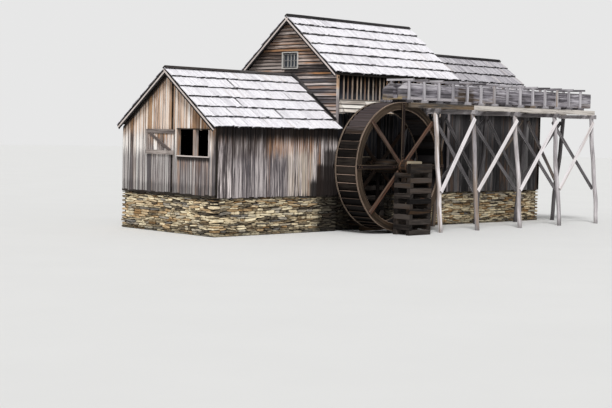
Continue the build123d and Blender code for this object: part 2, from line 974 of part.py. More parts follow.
def post_profile(head_y, side):
    """Side view of a post: plumb width kept, leaning out by the batter."""
    foot_y = head_y + side * cap_bottom * lean
    half = post_size / 2
    Polygon(
        (head_y - half, cap_bottom),
        (head_y + half, cap_bottom),
        (foot_y + half, 0),
        (foot_y - half, 0),
        align=None,
    )


with BuildPart() as posts:
    for place in bent_places:
        for head_y, side in heads:
            with BuildSketch(Plane.YZ.offset(place - post_size / 2)):
                post_profile(head_y, side)
            extrude(amount=post_size)
save(posts.part, "trestle_posts")


def leaning_plane(head_y, side, shift):
    """Plane of the posts' faces, shifted outwards, with its origin at the cap's height."""
    up = (0, -side * sin(radians(post_batter)), cos(radians(post_batter)))
    out = Vector(0, side * cos(radians(post_batter)), sin(radians(post_batter)))
    start = Vector(0, head_y, cap_bottom) + out * shift
    x_dir = Vector(*up).cross(out)
    return Plane(origin=start, x_dir=x_dir, z_dir=out)


# Braces: one diagonal outside the posts and one inside, in every bay of both rows
slant = cap_bottom / cos(radians(post_batter))
face_shift = post_size / 2 * cos(radians(post_batter))
with BuildPart() as braces:
    for head_y, side in heads:
        for left, right in zip(bent_places, bent_places[1:]):
            for shift, rising in ((face_shift, True), (-face_shift - brace_thickness, False)):
                plane = leaning_plane(head_y, side, shift)
                turn = plane.x_dir.X
                low_x, high_x = (left, right) if rising else (right, left)
                low = (low_x * turn, brace_foot_height / cos(radians(post_batter)) - slant)
                high = (high_x * turn, -brace_head_drop)
                with BuildSketch(plane):
                    board_between(low, high, brace_width)
                extrude(amount=brace_thickness)
save(braces.part, "trestle_braces")
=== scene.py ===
# %% [markdown]
# # A watermill, board by board
#
# This lesson dresses the plain model of an old watermill: a boarded mill house with a shed on
# its left and a lower wing on its right, a wooden wheel in front, and a flume on a trestle.
# The plain model arrives as a fixed frame, in metres. Nothing in it is moved or resized. Every
# new piece is a grid of points worked out with numpy, and it stands where a plain piece stood.

# %% Load the frame
from math import asin, copysign, cos, radians, sin, sqrt, tan

import bpy
import numpy as np
from mathutils import Matrix, Vector


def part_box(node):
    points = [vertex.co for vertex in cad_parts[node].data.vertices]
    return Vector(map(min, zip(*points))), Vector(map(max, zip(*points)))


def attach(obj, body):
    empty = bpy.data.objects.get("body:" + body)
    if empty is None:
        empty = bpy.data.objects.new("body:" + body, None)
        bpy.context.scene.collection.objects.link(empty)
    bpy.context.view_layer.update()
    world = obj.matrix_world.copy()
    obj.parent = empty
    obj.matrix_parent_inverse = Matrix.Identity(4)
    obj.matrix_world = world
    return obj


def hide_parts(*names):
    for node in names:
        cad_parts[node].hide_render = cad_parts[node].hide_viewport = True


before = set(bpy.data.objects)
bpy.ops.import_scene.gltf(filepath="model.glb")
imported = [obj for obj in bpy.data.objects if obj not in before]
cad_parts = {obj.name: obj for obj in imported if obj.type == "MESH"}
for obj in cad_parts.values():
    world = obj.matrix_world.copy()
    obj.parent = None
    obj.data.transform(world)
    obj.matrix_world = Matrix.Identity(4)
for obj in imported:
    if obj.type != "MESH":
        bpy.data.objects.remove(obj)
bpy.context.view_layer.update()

# %% [markdown]
# ## The camera
#
# A camera can be aimed by hand, by a constraint, or by its three axes. Here the place and the
# turn were measured from the picture, so the axes are worked out from yaw, pitch and roll and
# written straight into the matrix. The focal length is given in pixels of a frame 612 wide.

# %% Camera
camera_place = (-31.902, -30.535, 3.323)
camera_yaw = radians(45.945)
camera_pitch = radians(3.253)
camera_roll = radians(1.3125)
frame_width = 612
focal_pixels = 1290.5
sensor_width = 36.0

heading = Vector((cos(camera_yaw), sin(camera_yaw), 0))
forward = heading * cos(camera_pitch) - Vector((0, 0, sin(camera_pitch)))
level_side = Vector((heading.y, -heading.x, 0))
level_up = level_side.cross(forward)
camera_side = level_side * cos(camera_roll) + level_up * sin(camera_roll)
camera_up = level_up * cos(camera_roll) - level_side * sin(camera_roll)

camera = bpy.data.objects.new("camera", bpy.data.cameras.new("camera"))
bpy.context.scene.collection.objects.link(camera)
camera.data.sensor_width = sensor_width
camera.data.lens = focal_pixels / frame_width * sensor_width
camera.data.clip_end = 500
axes = Matrix((camera_side, camera_up, -forward)).transposed()
camera.matrix_world = Matrix.Translation(camera_place) @ axes.to_4x4()
bpy.context.scene.camera = camera
print("lens", round(camera.data.lens, 2), "mm")

# %% [markdown]
# ## Grids of points
#
# A board, a stone, a log and a rim plank are all the same kind of surface: a closed ring of
# corners carried through a few stations. One function of two parameters, corner and station,
# says where each point is. Thousands of such shapes can be worked out in one array, so the
# first helper only has to join neighbouring points with four-sided faces. It also lays out
# a UV map in metres, along the piece and round it, so that grain follows every board.

# %% Skin a grid
right = np.array([1.0, 0.0, 0.0])
back = np.array([0.0, 1.0, 0.0])
up = np.array([0.0, 0.0, 1.0])
uv_spread = 40.0
end_grain = 2.0
seeded = np.random.default_rng


def unit(vectors):
    """Each vector divided by its own length."""
    return vectors / np.linalg.norm(vectors, axis=-1, keepdims=True)


def running(steps):
    """Distances so far: nought, then the running total of the steps along the last axis."""
    total = np.cumsum(steps, axis=-1)
    return np.concatenate([np.zeros_like(total[..., :1]), total], axis=-1)


def shell(points, rng, closed=False, smooth=False, edges=(), finish=0, tone=None, warm=None):
    """Skins grids of points shaped (piece, station, corner, 3).

    Corner k joins corner k + 1 all the way round, and station s joins station s + 1. A closed
    path joins its last station to its first, and any other path gets a strip of caps at both
    ends. u is the distance along the middle line, v the distance round the middle ring.
    """
    count, stations, corners = points.shape[:3]
    index = np.arange(count * stations * corners).reshape(count, stations, corners)
    here = index if closed else index[:, :-1]
    ahead = np.roll(index, -1, axis=1) if closed else index[:, 1:]
    sides = np.stack([here, np.roll(here, -1, 2), np.roll(ahead, -1, 2), ahead], axis=-1)

    middle = points.mean(axis=2)
    after = np.roll(middle, -1, axis=1) if closed else middle[:, 1:]
    u = running(np.linalg.norm(after - (middle if closed else middle[:, :-1]), axis=-1))
    ring = points[:, stations // 2]
    v = running(np.linalg.norm(np.roll(ring, -1, axis=1) - ring, axis=-1))
    spread = rng.uniform(0, uv_spread, (count, 1, 1, 1, 2))
    u_low, u_high = u[:, :-1, None], u[:, 1:, None]
    v_low, v_high = v[:, None, :-1], v[:, None, 1:]
    corner_u = np.stack(np.broadcast_arrays(u_low, u_low, u_high, u_high), axis=-1)
    corner_v = np.stack(np.broadcast_arrays(v_low, v_high, v_high, v_low), axis=-1)
    uv = np.stack(np.broadcast_arrays(corner_u, corner_v), axis=-1) + spread

    tone = rng.random(count) if tone is None else np.broadcast_to(tone, count)
    warm = rng.random(count) if warm is None else np.broadcast_to(warm, count)

    def looks_of(faces, kind):
        look = np.zeros(faces.shape[:3] + (3,))
        look[..., 0], look[..., 1], look[..., 2] = tone[:, None, None], warm[:, None, None], kind
        return look.reshape(-1, 3)

    worn = np.isin(np.arange(corners), edges).astype(float)
    faces, uvs, looks = [sides.reshape(-1, 4)], [uv.reshape(-1, 4, 2)], [looks_of(sides, worn)]
    if not closed:
        strip = np.array([(corners - 1 - i, i, i + 1, corners - 2 - i) for i in range(corners // 2 - 1)])
        ends = np.stack([index[:, 0][:, strip[:, ::-1]], index[:, -1][:, strip]], axis=1)
        flat = points.reshape(-1, 3)[ends] - middle[:, [0, -1]][:, :, None, None]
        first = unit(ring[:, 0] - ring.mean(axis=1))
        second = np.cross(unit(middle[:, -1] - middle[:, 0]), first)
        cap_uv = np.stack([(flat * way[:, None, None, None]).sum(-1) for way in (first, second)], axis=-1)
        faces.append(ends.reshape(-1, 4))
        uvs.append((cap_uv + spread).reshape(-1, 4, 2))
        looks.append(looks_of(ends, end_grain))

    faces = np.concatenate(faces)
    total = u[:, -1:] * (not closed)
    fall = np.broadcast_to((total - u[:, :stations])[:, :, None], (count, stations, corners))
    return {
        "points": points.reshape(-1, 3),
        "faces": faces,
        "uv": np.concatenate(uvs),
        "look": np.concatenate(looks),
        "fall": fall.reshape(-1),
        "finish": np.full(len(faces), finish),
        "smooth": np.full(len(faces), smooth),
    }


# %% [markdown]
# ## From arrays to a piece
#
# The arrays go into a mesh with foreach_set, which is far quicker than adding faces one by
# one. Three numbers a face travel with it for the finishes: how light the board is, how warm
# it is, and whether the face is a worn edge (1) or end grain (2). A fourth, on each point, is
# the distance left to the end of the board. This is where rain stains start, and where painted
# shade under the eaves and under the shake butts is laid.

# %% Make a piece
made = {}


def piece(name, parts, finishes, nodes, body="mill"):
    """Joins skinned grids to one mesh that rides on a body and stands for some plain nodes."""
    offsets = np.cumsum([0] + [len(part["points"]) for part in parts[:-1]])
    faces = np.concatenate([part["faces"] + offset for part, offset in zip(parts, offsets)])
    whole = {key: np.concatenate([part[key] for part in parts]) for key in parts[0] if key != "faces"}
    mesh = bpy.data.meshes.new(name)
    mesh.vertices.add(len(whole["points"]))
    mesh.vertices.foreach_set("co", whole["points"].ravel())
    mesh.loops.add(faces.size)
    mesh.loops.foreach_set("vertex_index", faces.ravel())
    mesh.polygons.add(len(faces))
    mesh.polygons.foreach_set("loop_start", np.arange(0, faces.size, 4))
    mesh.polygons.foreach_set("material_index", whole["finish"])
    mesh.polygons.foreach_set("use_smooth", whole["smooth"])
    mesh.update(calc_edges=True)
    mesh.uv_layers.new(name="grain").data.foreach_set("uv", whole["uv"].ravel())
    mesh.attributes.new("look", "FLOAT_VECTOR", "FACE").data.foreach_set("vector", whole["look"].ravel())
    mesh.attributes.new("fall", "FLOAT", "POINT").data.foreach_set("value", whole["fall"])
    mesh.validate()
    for finish in finishes:
        mesh.materials.append(finish)
    thing = bpy.data.objects.new(name, mesh)
    bpy.context.scene.collection.objects.link(thing)
    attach(thing, body)
    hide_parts(*nodes)
    made[name] = 2 * len(faces)
    print(f"{name}: {made[name]} triangles")


# %% [markdown]
# ## Squared timber
#
# Almost everything here was sawn. A board is an eight-cornered profile, a rectangle with its
# arrises taken off, carried in a straight line. Real boards bow and wind as they dry and their
# ends are cut to a slope, so the same function bends the line, turns the profile and slides
# each corner along the board by how far across it lies.

# %% Boards and beams
corner_a = np.array([1, 1, 1, -1, -1, -1, -1, 1])
corner_b = np.array([-1, 1, 1, 1, 1, -1, -1, -1])
arris_a = np.array([0, 0, 1, -1, 0, 0, -1, 1])
arris_b = np.array([-1, 1, 0, 0, 1, -1, 0, 0])
worn_faces = (1, 3, 5, 7)
side_faces = (0, 1, 3, 4, 5, 7)


def at(x, y, z):
    """Rows of points from numbers or arrays of x, y and z that broadcast together."""
    return np.stack(np.broadcast_arrays(*np.atleast_1d(x, y, z)), axis=-1).astype(float)


def between(value, s, count):
    """Size of each board at each station, from one size or from a pair for its two ends."""
    first, last = value if isinstance(value, tuple) else (value, value)
    first, last = (np.broadcast_to(np.asarray(v, float), count)[:, None] for v in (first, last))
    return first + (last - first) * s


def timbers(start, end, across, width, depth, rng, stations=4, arris=0.004, bow=0.0, wind=0.0,
            rough=0.0, skew=(0.0, 0.0), edges=worn_faces, **look):
    """Squared pieces from start to end, with their width along the vector across.

    Point = start + along * distance + side * a + face * b, where a and b are the profile's
    corners. The line leaves the straight by bow * sine, the profile turns by wind from end to
    end, and a corner at a slides along the board by a * skew.
    """
    count = max(len(np.atleast_2d(v)) for v in (start, end, across))
    start, end, across = (np.broadcast_to(np.asarray(v, float), (count, 3)) for v in (start, end, across))
    along = unit(end - start)
    across = unit(across - along * (across * along).sum(axis=1, keepdims=True))
    out = np.cross(along, across)
    s = np.linspace(0, 1, stations)
    half_width = between(width, s, count)[..., None] / 2
    half_depth = between(depth, s, count)[..., None] / 2
    cut = np.minimum(arris, np.minimum(half_width, half_depth) * 0.6)
    a = half_width * corner_a - cut * arris_a
    b = half_depth * corner_b - cut * arris_b
    a = a + rng.normal(0, 1, a.shape) * rough
    b = b + rng.normal(0, 1, b.shape) * rough
    turn = (rng.normal(0, 1, (count, 1)) * wind * (s - 0.5))[..., None]
    side = across[:, None] * np.cos(turn) + out[:, None] * np.sin(turn)
    face = out[:, None] * np.cos(turn) - across[:, None] * np.sin(turn)
    length = np.linalg.norm(end - start, axis=1)[:, None]
    lift = rng.normal(0, 1, (count, 1)) * bow * np.sin(np.pi * s)
    line = start[:, None] + along[:, None] * (length * s)[..., None] + out[:, None] * lift[..., None]
    slide = a * between(skew, s, count)[..., None]
    points = line[:, :, None] + side[:, :, None] * a[..., None] + face[:, :, None] * b[..., None]
    points = points + along[:, None, None] * slide[..., None]
    return shell(points, rng, edges=edges, **look)


# %% [markdown]
# ## Finishes: a small kit for shader nodes
#
# A material could be clicked together, but a script that names each step reads better. What a
# node puts out is wrapped, so that shades can be added and multiplied like numbers: each sum
# adds a Math node.

# %% Node kit
class Value:
    """What a node puts out. Sums and products with it become Math nodes."""

    def __init__(self, kit, socket):
        self.kit, self.socket = kit, socket

    def __add__(self, other):
        return self.kit.math("ADD", self, other)

    def __sub__(self, other):
        return self.kit.math("SUBTRACT", self, other)

    def __mul__(self, other):
        return self.kit.math("MULTIPLY", self, other)

    def __truediv__(self, other):
        return self.kit.math("DIVIDE", self, other)

    def span(self, low, high, to_low=0.0, to_high=1.0):
        """Moves a range of values to another one, with both ends held."""
        return self.kit.get("MapRange", 0, interpolation_type="SMOOTHSTEP", Value=self, From_Min=low,
                            From_Max=high, To_Min=to_low, To_Max=to_high)


class Kit:
    """A tree of nodes, with short calls that add nodes to it and link them."""

    def __init__(self, tree):
        self.nodes, self.links = tree.nodes, tree.links

    def feed(self, socket, value):
        """Puts a number or a colour in a socket, or links what another node puts out."""
        if isinstance(value, Value):
            self.links.new(value.socket, socket)
        elif isinstance(value, tuple) and socket.type == "RGBA":
            socket.default_value = (*value, 1.0)
        else:
            socket.default_value = value

    def add(self, kind, *inputs, **settings):
        """Adds a node: inputs in order, then settings. Those with a capital are inputs, too."""
        node = self.nodes.new("ShaderNode" + kind)
        for key, value in settings.items():
            if key[0].isupper():
                self.feed(node.inputs[key.replace("_", " ")], value)
            else:
                setattr(node, key, value)
        for socket, value in zip(node.inputs, inputs):
            self.feed(socket, value)
        return node

    def get(self, kind, out, *inputs, **settings):
        """Adds a node and gives one of the things it puts out."""
        return Value(self, self.add(kind, *inputs, **settings).outputs[out])

    def math(self, operation, *values):
        """A sum, product or other result of one or two values."""
        return self.get("Math", 0, *values, operation=operation)


class Finish(Kit):
    """One material round a single shader."""

    def __init__(self, name, **settings):
        self.material = bpy.data.materials.new(name)
        self.material.use_nodes = True
        super().__init__(self.material.node_tree)
        self.nodes.clear()
        shader = self.add("BsdfPrincipled", **settings)
        self.inputs = shader.inputs
        self.add("OutputMaterial", Value(self, shader.outputs[0]))

    def grain(self):
        """The piece's own UV map, in metres along the grain and across it."""
        return self.get("UVMap", 0, uv_map="grain")

    def place(self):
        """Object coordinates, which are metres in the frame of the whole mill."""
        return self.get("TexCoord", "Object")

    def apart(self, vector):
        """The three numbers of a vector, each by itself."""
        return [Value(self, socket) for socket in self.add("SeparateXYZ", vector).outputs]

    def look(self):
        """Tone, warmth and kind of each face."""
        return self.apart(self.get("Attribute", "Vector", attribute_name="look"))

    def fall(self):
        """Distance left to the end of the board."""
        return self.get("Attribute", "Fac", attribute_name="fall")

    def noise(self, vector, scale, detail=3.0, roughness=0.55, distortion=0.0):
        """Cloudy noise over a vector that is first stretched by three scales."""
        stretched = self.get("Mapping", 0, vector_type="POINT", Vector=vector, Scale=scale)
        return self.get("TexNoise", "Fac", Vector=stretched, Scale=1.0, Detail=detail,
                        Roughness=roughness, Distortion=distortion)

    def mix(self, factor, first, second):
        """One colour over another."""
        node = self.add("Mix", data_type="RGBA")
        for number, value in ((0, factor), (6, first), (7, second)):
            self.feed(node.inputs[number], value)
        return Value(self, node.outputs[2])

    def ramp(self, value, *stops):
        """Colours at even steps from nought to one."""
        node = self.add("ValToRGB", value)
        band = node.color_ramp
        while len(band.elements) < len(stops):
            band.elements.new(0.5)
        for i, colour in enumerate(stops):
            band.elements[i].position = i / (len(stops) - 1)
            band.elements[i].color = (*colour, 1.0)
        return Value(self, node.outputs[0])

    def done(self, colour, roughness, height, depth):
        """Links colour, roughness and a bump of some depth in metres, and gives the material."""
        self.feed(self.inputs["Base Color"], colour)
        self.feed(self.inputs["Roughness"], roughness)
        bump = self.get("Bump", 0, Height=height, Distance=depth, Strength=1.0)
        self.feed(self.inputs["Normal"], bump)
        return self.material


# %% [markdown]
# ## Weathered wood
#
# This is the finish that matters most: long streaks along the grain, finer fibres, dark drying
# cracks, boards that differ from one another, stains that run down from the eaves, and pale
# worn edges. Every wood in the mill comes from this one function with other colours, and with
# patches where the sun, the rain or the wheel has changed it.

# %% Weathered wood
def weathered(name, dark, middle, pale, warm=(0.34, 0.17, 0.075), streaks=14.0, contrast=0.42,
              warmth=0.35, stain=0.0, eave_shade=0.0, dry=0.88, end_tone=0.5, own=0.5, shine=0.2,
              edge=None, wear=0.35, lap_shade=None, patches=(), sideways=0):
    """Old sawn wood.

    Shade = streak, fibre and the board's own tone added up, spread over three colours. Warm
    boards and rain stains mix in the warm colour, cracks and end grain darken it, and worn
    edges lighten it. An eave shade is how far down from the top of each board a painted shade
    reaches, under the eaves. A lap shade is the first height and the spacing of lapped boards,
    whose upper parts get a painted shade line under the board above. A patch is a box of places,
    how soft its sides are, a colour, how much of it is laid on, and how far it breaks up into drips.
    """
    wood = Finish(name, Specular_IOR_Level=shine)
    grain, place = wood.grain(), wood.place()
    tone, warmer, kind = wood.look()
    streak = wood.noise(grain, (0.9, streaks, 1.0), detail=4.0, roughness=0.6, distortion=0.4)
    fibre = wood.noise(grain, (3.0, streaks * 6.0, 1.0), detail=2.0)
    blotch = wood.noise(place, (1.3, 1.3, 0.8))
    crack = wood.noise(grain, (0.5, streaks * 2.6, 1.0), detail=2.0).span(0.62, 0.68)
    black = tuple(c * 0.25 for c in dark)

    shade = tone * own + streak * (1.0 - own) + (fibre - 0.5) * 0.25 + (blotch - 0.5) * 0.2
    colour = wood.ramp(shade.span(0.5 - contrast / 2, 0.5 + contrast / 2), dark, middle, pale)

    patch = wood.noise(grain, (0.7, streaks * 0.6, 1.0)).span(0.42, 0.62)
    amount = warmer.span(1.0 - warmth, 1.0) * patch
    if stain:
        runs = wood.noise(grain, (0.25, streaks * 0.7, 1.0)).span(0.46, 0.6)
        amount = wood.math("MAXIMUM", amount, wood.fall().span(stain, stain * 0.1) * runs)
    colour = wood.mix(amount * 0.8, colour, warm)
    end = kind.span(1.2, 1.8)
    colour = wood.mix((kind.span(0.0, 1.0) - end) * wear, colour, edge or pale)
    colour = wood.mix(end * end_tone, colour, dark)
    colour = wood.mix(crack * 0.75, colour, black)

    places = wood.apart(place)
    ragged = (streak - 0.5) * 2.0
    drips = wood.noise(grain, (0.3, streaks * 0.8, 1.0)).span(0.4, 0.58)
    for (low, high, bottom, top), soft, tint, cover, streaky in patches:
        across = places[sideways] + ragged * soft
        level = places[2] + ragged * (soft * 2.0)
        inside = across.span(low - soft, low) * across.span(high + soft, high)
        inside = inside * (level.span(bottom - soft, bottom) * level.span(top + soft, top))
        colour = wood.mix(inside * drips.span(0.0, 1.0, cover * (1.0 - streaky), cover), colour, tint)
    # painted shade: the top of each board is darkened where the eaves shade it
    if eave_shade:
        under = wood.fall() + ragged * (eave_shade * 0.3)
        colour = wood.mix(under.span(eave_shade, eave_shade * 0.4, 0.0, 0.96), colour, black)
    # painted shade: a dark line on each lapped board just under the board above
    if lap_shade:
        first, spacing = lap_shade
        rise = wood.math("FRACT", (places[2] - first) / spacing) + ragged * 0.25
        colour = wood.mix(rise.span(0.64, 0.76, 0.0, 0.97), colour, black)
    height = fibre * 0.4 + streak * 0.6 - crack * 0.8
    return wood.done(colour, fibre.span(0.3, 0.7, dry - 0.12, dry + 0.06), height, 0.004)


# %% [markdown]
# ## The woods of the mill
#
# The colours run from dark to middle to pale. The shed is silvered and rust-stained. The mill
# house's front boards are painted nearly black as shade, with its battens bright, and everything
# near the wheel is wet, with painted shade darkening it further.

# %% Woods of the walls
soaked = (0.01, 0.008, 0.008)
lap_first, lap_reveal = 1.202, 0.118
shed_look = dict(
    dark=(0.04, 0.034, 0.036), middle=(0.285, 0.244, 0.243), pale=(0.94, 0.85, 0.83),
    warm=(0.42, 0.2, 0.09), streaks=30.0, contrast=0.25, warmth=0.2, stain=0.7, eave_shade=0.66, own=0.2,
    edge=soaked, wear=0.9,
)
rain_marks = (
    ((-5.9, -4.4, 2.6, 4.0), 0.4, (0.045, 0.03, 0.024), 0.75, 0.6),
    ((-4.3, -2.5, 2.7, 4.0), 0.3, (0.54, 0.28, 0.14), 0.65, 1.0),
    ((-3.5, -2.5, 1.3, 2.5), 0.25, (0.86, 0.72, 0.58), 0.6, 1.0),
    ((-5.6, -3.6, 1.0, 2.2), 0.5, (0.115, 0.105, 0.12), 0.5, 0.5),
)
wheel_splash = (
    ((-2.45, 9.0, -1.0, 1.65), 0.2, soaked, 0.95, 0.0),
    ((-2.2, 9.0, -1.0, 2.15), 0.15, (0.022, 0.015, 0.013), 0.95, 0.1),
    ((-1.85, 9.0, -1.0, 2.65), 0.15, (0.02, 0.015, 0.014), 0.9, 0.2),
)
shed_wood = weathered("shed_boards", **shed_look, patches=rain_marks + wheel_splash)
back_wood = weathered("back_boards", **shed_look, patches=rain_marks)
gable_wood = weathered(
    "shed_gable_boards", (0.085, 0.072, 0.068), (0.58, 0.49, 0.455), (1.0, 0.95, 0.9),
    (0.56, 0.28, 0.12), streaks=26.0, contrast=0.28, stain=0.7, eave_shade=0.2, own=0.34,
    edge=soaked, wear=0.9, sideways=1,
    patches=(
        ((-9.0, 9.0, -1.0, 2.4), 0.35, (0.13, 0.117, 0.125), 0.8, 0.5),
        ((-9.0, 9.0, -1.0, 1.5), 0.15, (0.05, 0.045, 0.045), 0.5, 0.5),
        ((-9.0, 9.0, 3.3, 9.0), 0.3, (0.74, 0.44, 0.24), 0.6, 1.0),
        ((-9.0, 0.9, 3.1, 9.0), 0.2, (0.4, 0.22, 0.11), 0.5, 1.0),
    ),
)
siding_wood = weathered(
    "house_siding", (0.04, 0.034, 0.034), (0.27, 0.215, 0.19), (0.78, 0.68, 0.63),
    (0.56, 0.27, 0.11), streaks=22.0, contrast=0.34, warmth=0.6, own=0.3,
    lap_shade=(lap_first, lap_reveal), sideways=1,
    patches=(
        ((-9.0, 9.0, 6.0, 9.0), 0.4, (0.26, 0.135, 0.065), 0.4, 0.8),
        ((2.4, 9.0, -1.0, 5.9), 0.4, (0.075, 0.055, 0.048), 0.6, 0.3),
        ((-9.0, 1.6, -1.0, 4.9), 0.3, (0.15, 0.145, 0.165), 0.5, 0.6),
    ),
)
# painted shade: the front boards are coloured nearly black for the shade behind the wheel and under the
# flume
shaded_wall_wood = weathered(
    "house_boards_shaded", (0.002, 0.002, 0.003), (0.007, 0.007, 0.009), (0.035, 0.035, 0.042),
    (0.03, 0.018, 0.012), stain=0.4, eave_shade=0.5, shine=0.1, edge=(0.003, 0.003, 0.003),
    patches=(((-1.2, 5.0, 4.0, 4.5), 0.15, (0.1, 0.11, 0.13), 0.6, 0.9),),
)
batten_wood = weathered(
    "battens", (0.08, 0.055, 0.04), (0.66, 0.42, 0.27), (1.0, 0.82, 0.66), (0.78, 0.34, 0.12),
    warmth=0.9, eave_shade=0.4, contrast=0.34, own=0.55, edge=(0.3, 0.17, 0.09), wear=0.6,
    patches=(
        ((-1.2, 9.0, -1.0, 4.6), 0.35, (0.22, 0.21, 0.225), 0.8, 0.5),
        # painted shade: the battens go near black below the flume, behind the wheel
        ((-9.0, 9.0, -1.0, 3.9), 0.1, (0.006, 0.006, 0.007), 0.97, 0.0),
    ),
)
# painted shade: the wing's boards are coloured dark, and darker still in the upper part, for the shade of
# its eaves
shaded_wing_wood = weathered(
    "wing_boards_shaded", (0.018, 0.017, 0.018), (0.07, 0.066, 0.068), (0.22, 0.21, 0.213),
    (0.14, 0.08, 0.05), eave_shade=0.6, own=0.35, edge=soaked, wear=0.9,
    patches=(((4.5, 9.0, 2.4, 9.0), 0.4, (0.045, 0.042, 0.045), 0.6, 0.3),),
)
# near black: partly old dark wood, partly painted shade for the insides, linings and eave undersides
shaded_inner_wood = weathered(
    "inner_boards_shaded", (0.006, 0.005, 0.005), (0.018, 0.015, 0.013), (0.045, 0.038, 0.032),
    (0.04, 0.024, 0.014), shine=0.1,
)
trim_wood = weathered(
    "trim_boards", (0.12, 0.095, 0.088), (0.36, 0.31, 0.285), (0.7, 0.62, 0.58),
    (0.46, 0.25, 0.13), warmth=0.5,
)
corner_wood = weathered(
    "corner_boards", (0.13, 0.1, 0.09), (0.36, 0.31, 0.3), (0.66, 0.59, 0.56), warmth=0.1,
    patches=(
        ((-9.0, 0.0, 4.8, 9.0), 0.15, (0.98, 0.66, 0.44), 0.98, 0.0),
        ((-9.0, 9.0, -1.0, 4.35), 0.2, (0.19, 0.17, 0.185), 0.8, 0.3),
    ),
)
ridge_wood = weathered(
    "ridge_boards", (0.012, 0.011, 0.012), (0.04, 0.036, 0.037), (0.12, 0.11, 0.11),
    (0.05, 0.04, 0.035), shine=0.15,
)
print("wood finishes so far:", len(bpy.data.materials))

# %% Woods of the wheel and the flume
# near black: wet wood, and painted shade of the inside of the wheel
wheel_wood = weathered(
    "wet_shaded_wheel_boards", (0.003, 0.003, 0.003), (0.01, 0.009, 0.009), (0.032, 0.029, 0.03),
    (0.028, 0.016, 0.009), dry=0.8, warmth=0.4, shine=0.06, wear=0.2,
)
# near black: wet wood, and painted shade of the downward-facing lips
lip_wood = weathered(
    "lip_boards", (0.004, 0.0035, 0.0035), (0.012, 0.01, 0.009), (0.042, 0.034, 0.029),
    (0.04, 0.023, 0.014), dry=0.8, warmth=0.5, shine=0.08, edge=(0.46, 0.33, 0.26),
    wear=0.9,
    patches=(
        ((-1.7, 1.0, 3.55, 9.0), 0.25, (0.105, 0.085, 0.088), 0.7, 0.4),
        # darker low on the wheel: partly wet wood, partly painted shade
        ((-9.0, 9.0, -1.0, 1.4), 0.35, (0.006, 0.005, 0.005), 0.85, 0.1),
    ),
)
rim_wood = weathered(
    "rim_planks", (0.006, 0.004, 0.003), (0.028, 0.02, 0.014), (0.075, 0.053, 0.037),
    (0.07, 0.038, 0.018), dry=0.8, warmth=0.6, end_tone=0.8, shine=0.1,
    edge=(0.44, 0.33, 0.26), wear=0.85, own=0.3,
)
# painted shade: a darker copy of the rim finish for the rear rim, which lies in the wheel's shade
shaded_rear_rim_wood = weathered(
    "rear_rim_planks", (0.003, 0.0025, 0.002), (0.01, 0.008, 0.006), (0.03, 0.023, 0.018),
    (0.026, 0.015, 0.008), dry=0.8, warmth=0.6, end_tone=0.8, shine=0.06,
    edge=(0.42, 0.32, 0.25), wear=0.75,
)
arm_wood = weathered(
    "arm_timber", (0.006, 0.004, 0.004), (0.026, 0.017, 0.014), (0.115, 0.078, 0.062),
    (0.12, 0.055, 0.035), dry=0.8, warmth=0.6, shine=0.1, own=0.35, contrast=0.34,
    edge=(0.26, 0.19, 0.13), wear=0.5,
)
# painted shade: a darker copy of the arm finish for the rear arms, which lie in the wheel's shade
shaded_rear_arm_wood = weathered(
    "shaded_rear_arm_timber", (0.003, 0.0025, 0.0025), (0.01, 0.008, 0.007), (0.03, 0.022, 0.018),
    (0.026, 0.014, 0.009), dry=0.8, warmth=0.6, shine=0.06,
)
flume_wood = weathered(
    "flume_planks", (0.075, 0.068, 0.077), (0.26, 0.24, 0.268), (0.58, 0.555, 0.59),
    (0.22, 0.15, 0.08), streaks=13.0, warmth=0.2, contrast=0.36, own=0.15,
    patches=(
        ((0.3, 2.8, 4.4, 4.5), 0.04, (0.62, 0.58, 0.6), 0.8, 0.4),
        ((2.9, 3.6, 4.2, 4.78), 0.15, (0.05, 0.032, 0.018), 0.9, 0.5),
    ),
)
stringer_wood = weathered(
    "stringer_timber", (0.06, 0.053, 0.048), (0.32, 0.29, 0.265), (0.66, 0.61, 0.56),
    (0.26, 0.17, 0.09), streaks=13.0, warmth=0.3, contrast=0.36, own=0.35,
    # painted shade: the top of each stringer is black, for the shade under the flume's sleepers
    patches=(((-9.0, 9.0, 4.33, 9.0), 0.015, (0.01, 0.009, 0.008), 0.9, 0.2),),
)
frame_wood = weathered(
    "flume_frames", (0.1, 0.092, 0.1), (0.31, 0.293, 0.315), (0.58, 0.555, 0.58),
    (0.34, 0.24, 0.15), warmth=0.2, own=0.4,
)
spout_wood = weathered(
    "spout_planks", (0.085, 0.078, 0.086), (0.29, 0.27, 0.295), (0.62, 0.59, 0.615),
    (0.34, 0.24, 0.09), warmth=0.1, contrast=0.34, own=0.3,
    patches=(((-9.0, -0.06, 4.4, 4.495), 0.012, (0.42, 0.31, 0.15), 0.75, 0.4),),
)
trestle_wood = weathered(
    "trestle_timber", (0.045, 0.042, 0.044), (0.34, 0.315, 0.325), (0.92, 0.87, 0.88),
    (0.3, 0.22, 0.16), warmth=0.15, contrast=0.62, own=0.65,
)
crib_wood = weathered(
    "crib_timber", (0.006, 0.005, 0.005), (0.022, 0.018, 0.016), (0.075, 0.062, 0.055),
    (0.06, 0.034, 0.018), dry=0.8, warmth=0.4, shine=0.1,
    patches=(((-0.6, 0.6, 2.472, 2.6), 0.012, (0.46, 0.38, 0.28), 0.8, 0.3),),
)
print("wood finishes:", len(bpy.data.materials))

# %% [markdown]
# ## Shakes, stone, glass and iron
#
# Split shakes bleach almost white in the sun, so their finish is pale with thin dark splits.
# The butt end of each one is nearly black, partly with rain and partly as painted shade, and a
# painted shade band lies under each butt. Rubble stone takes its colour from cloudy noise on
# Object coordinates, which are the same for the whole mill, plus each stone's own tone. Old
# glass is dark and a little wavy, and iron is rusty in patches.

# %% Shake finish
shake_shown = 0.521


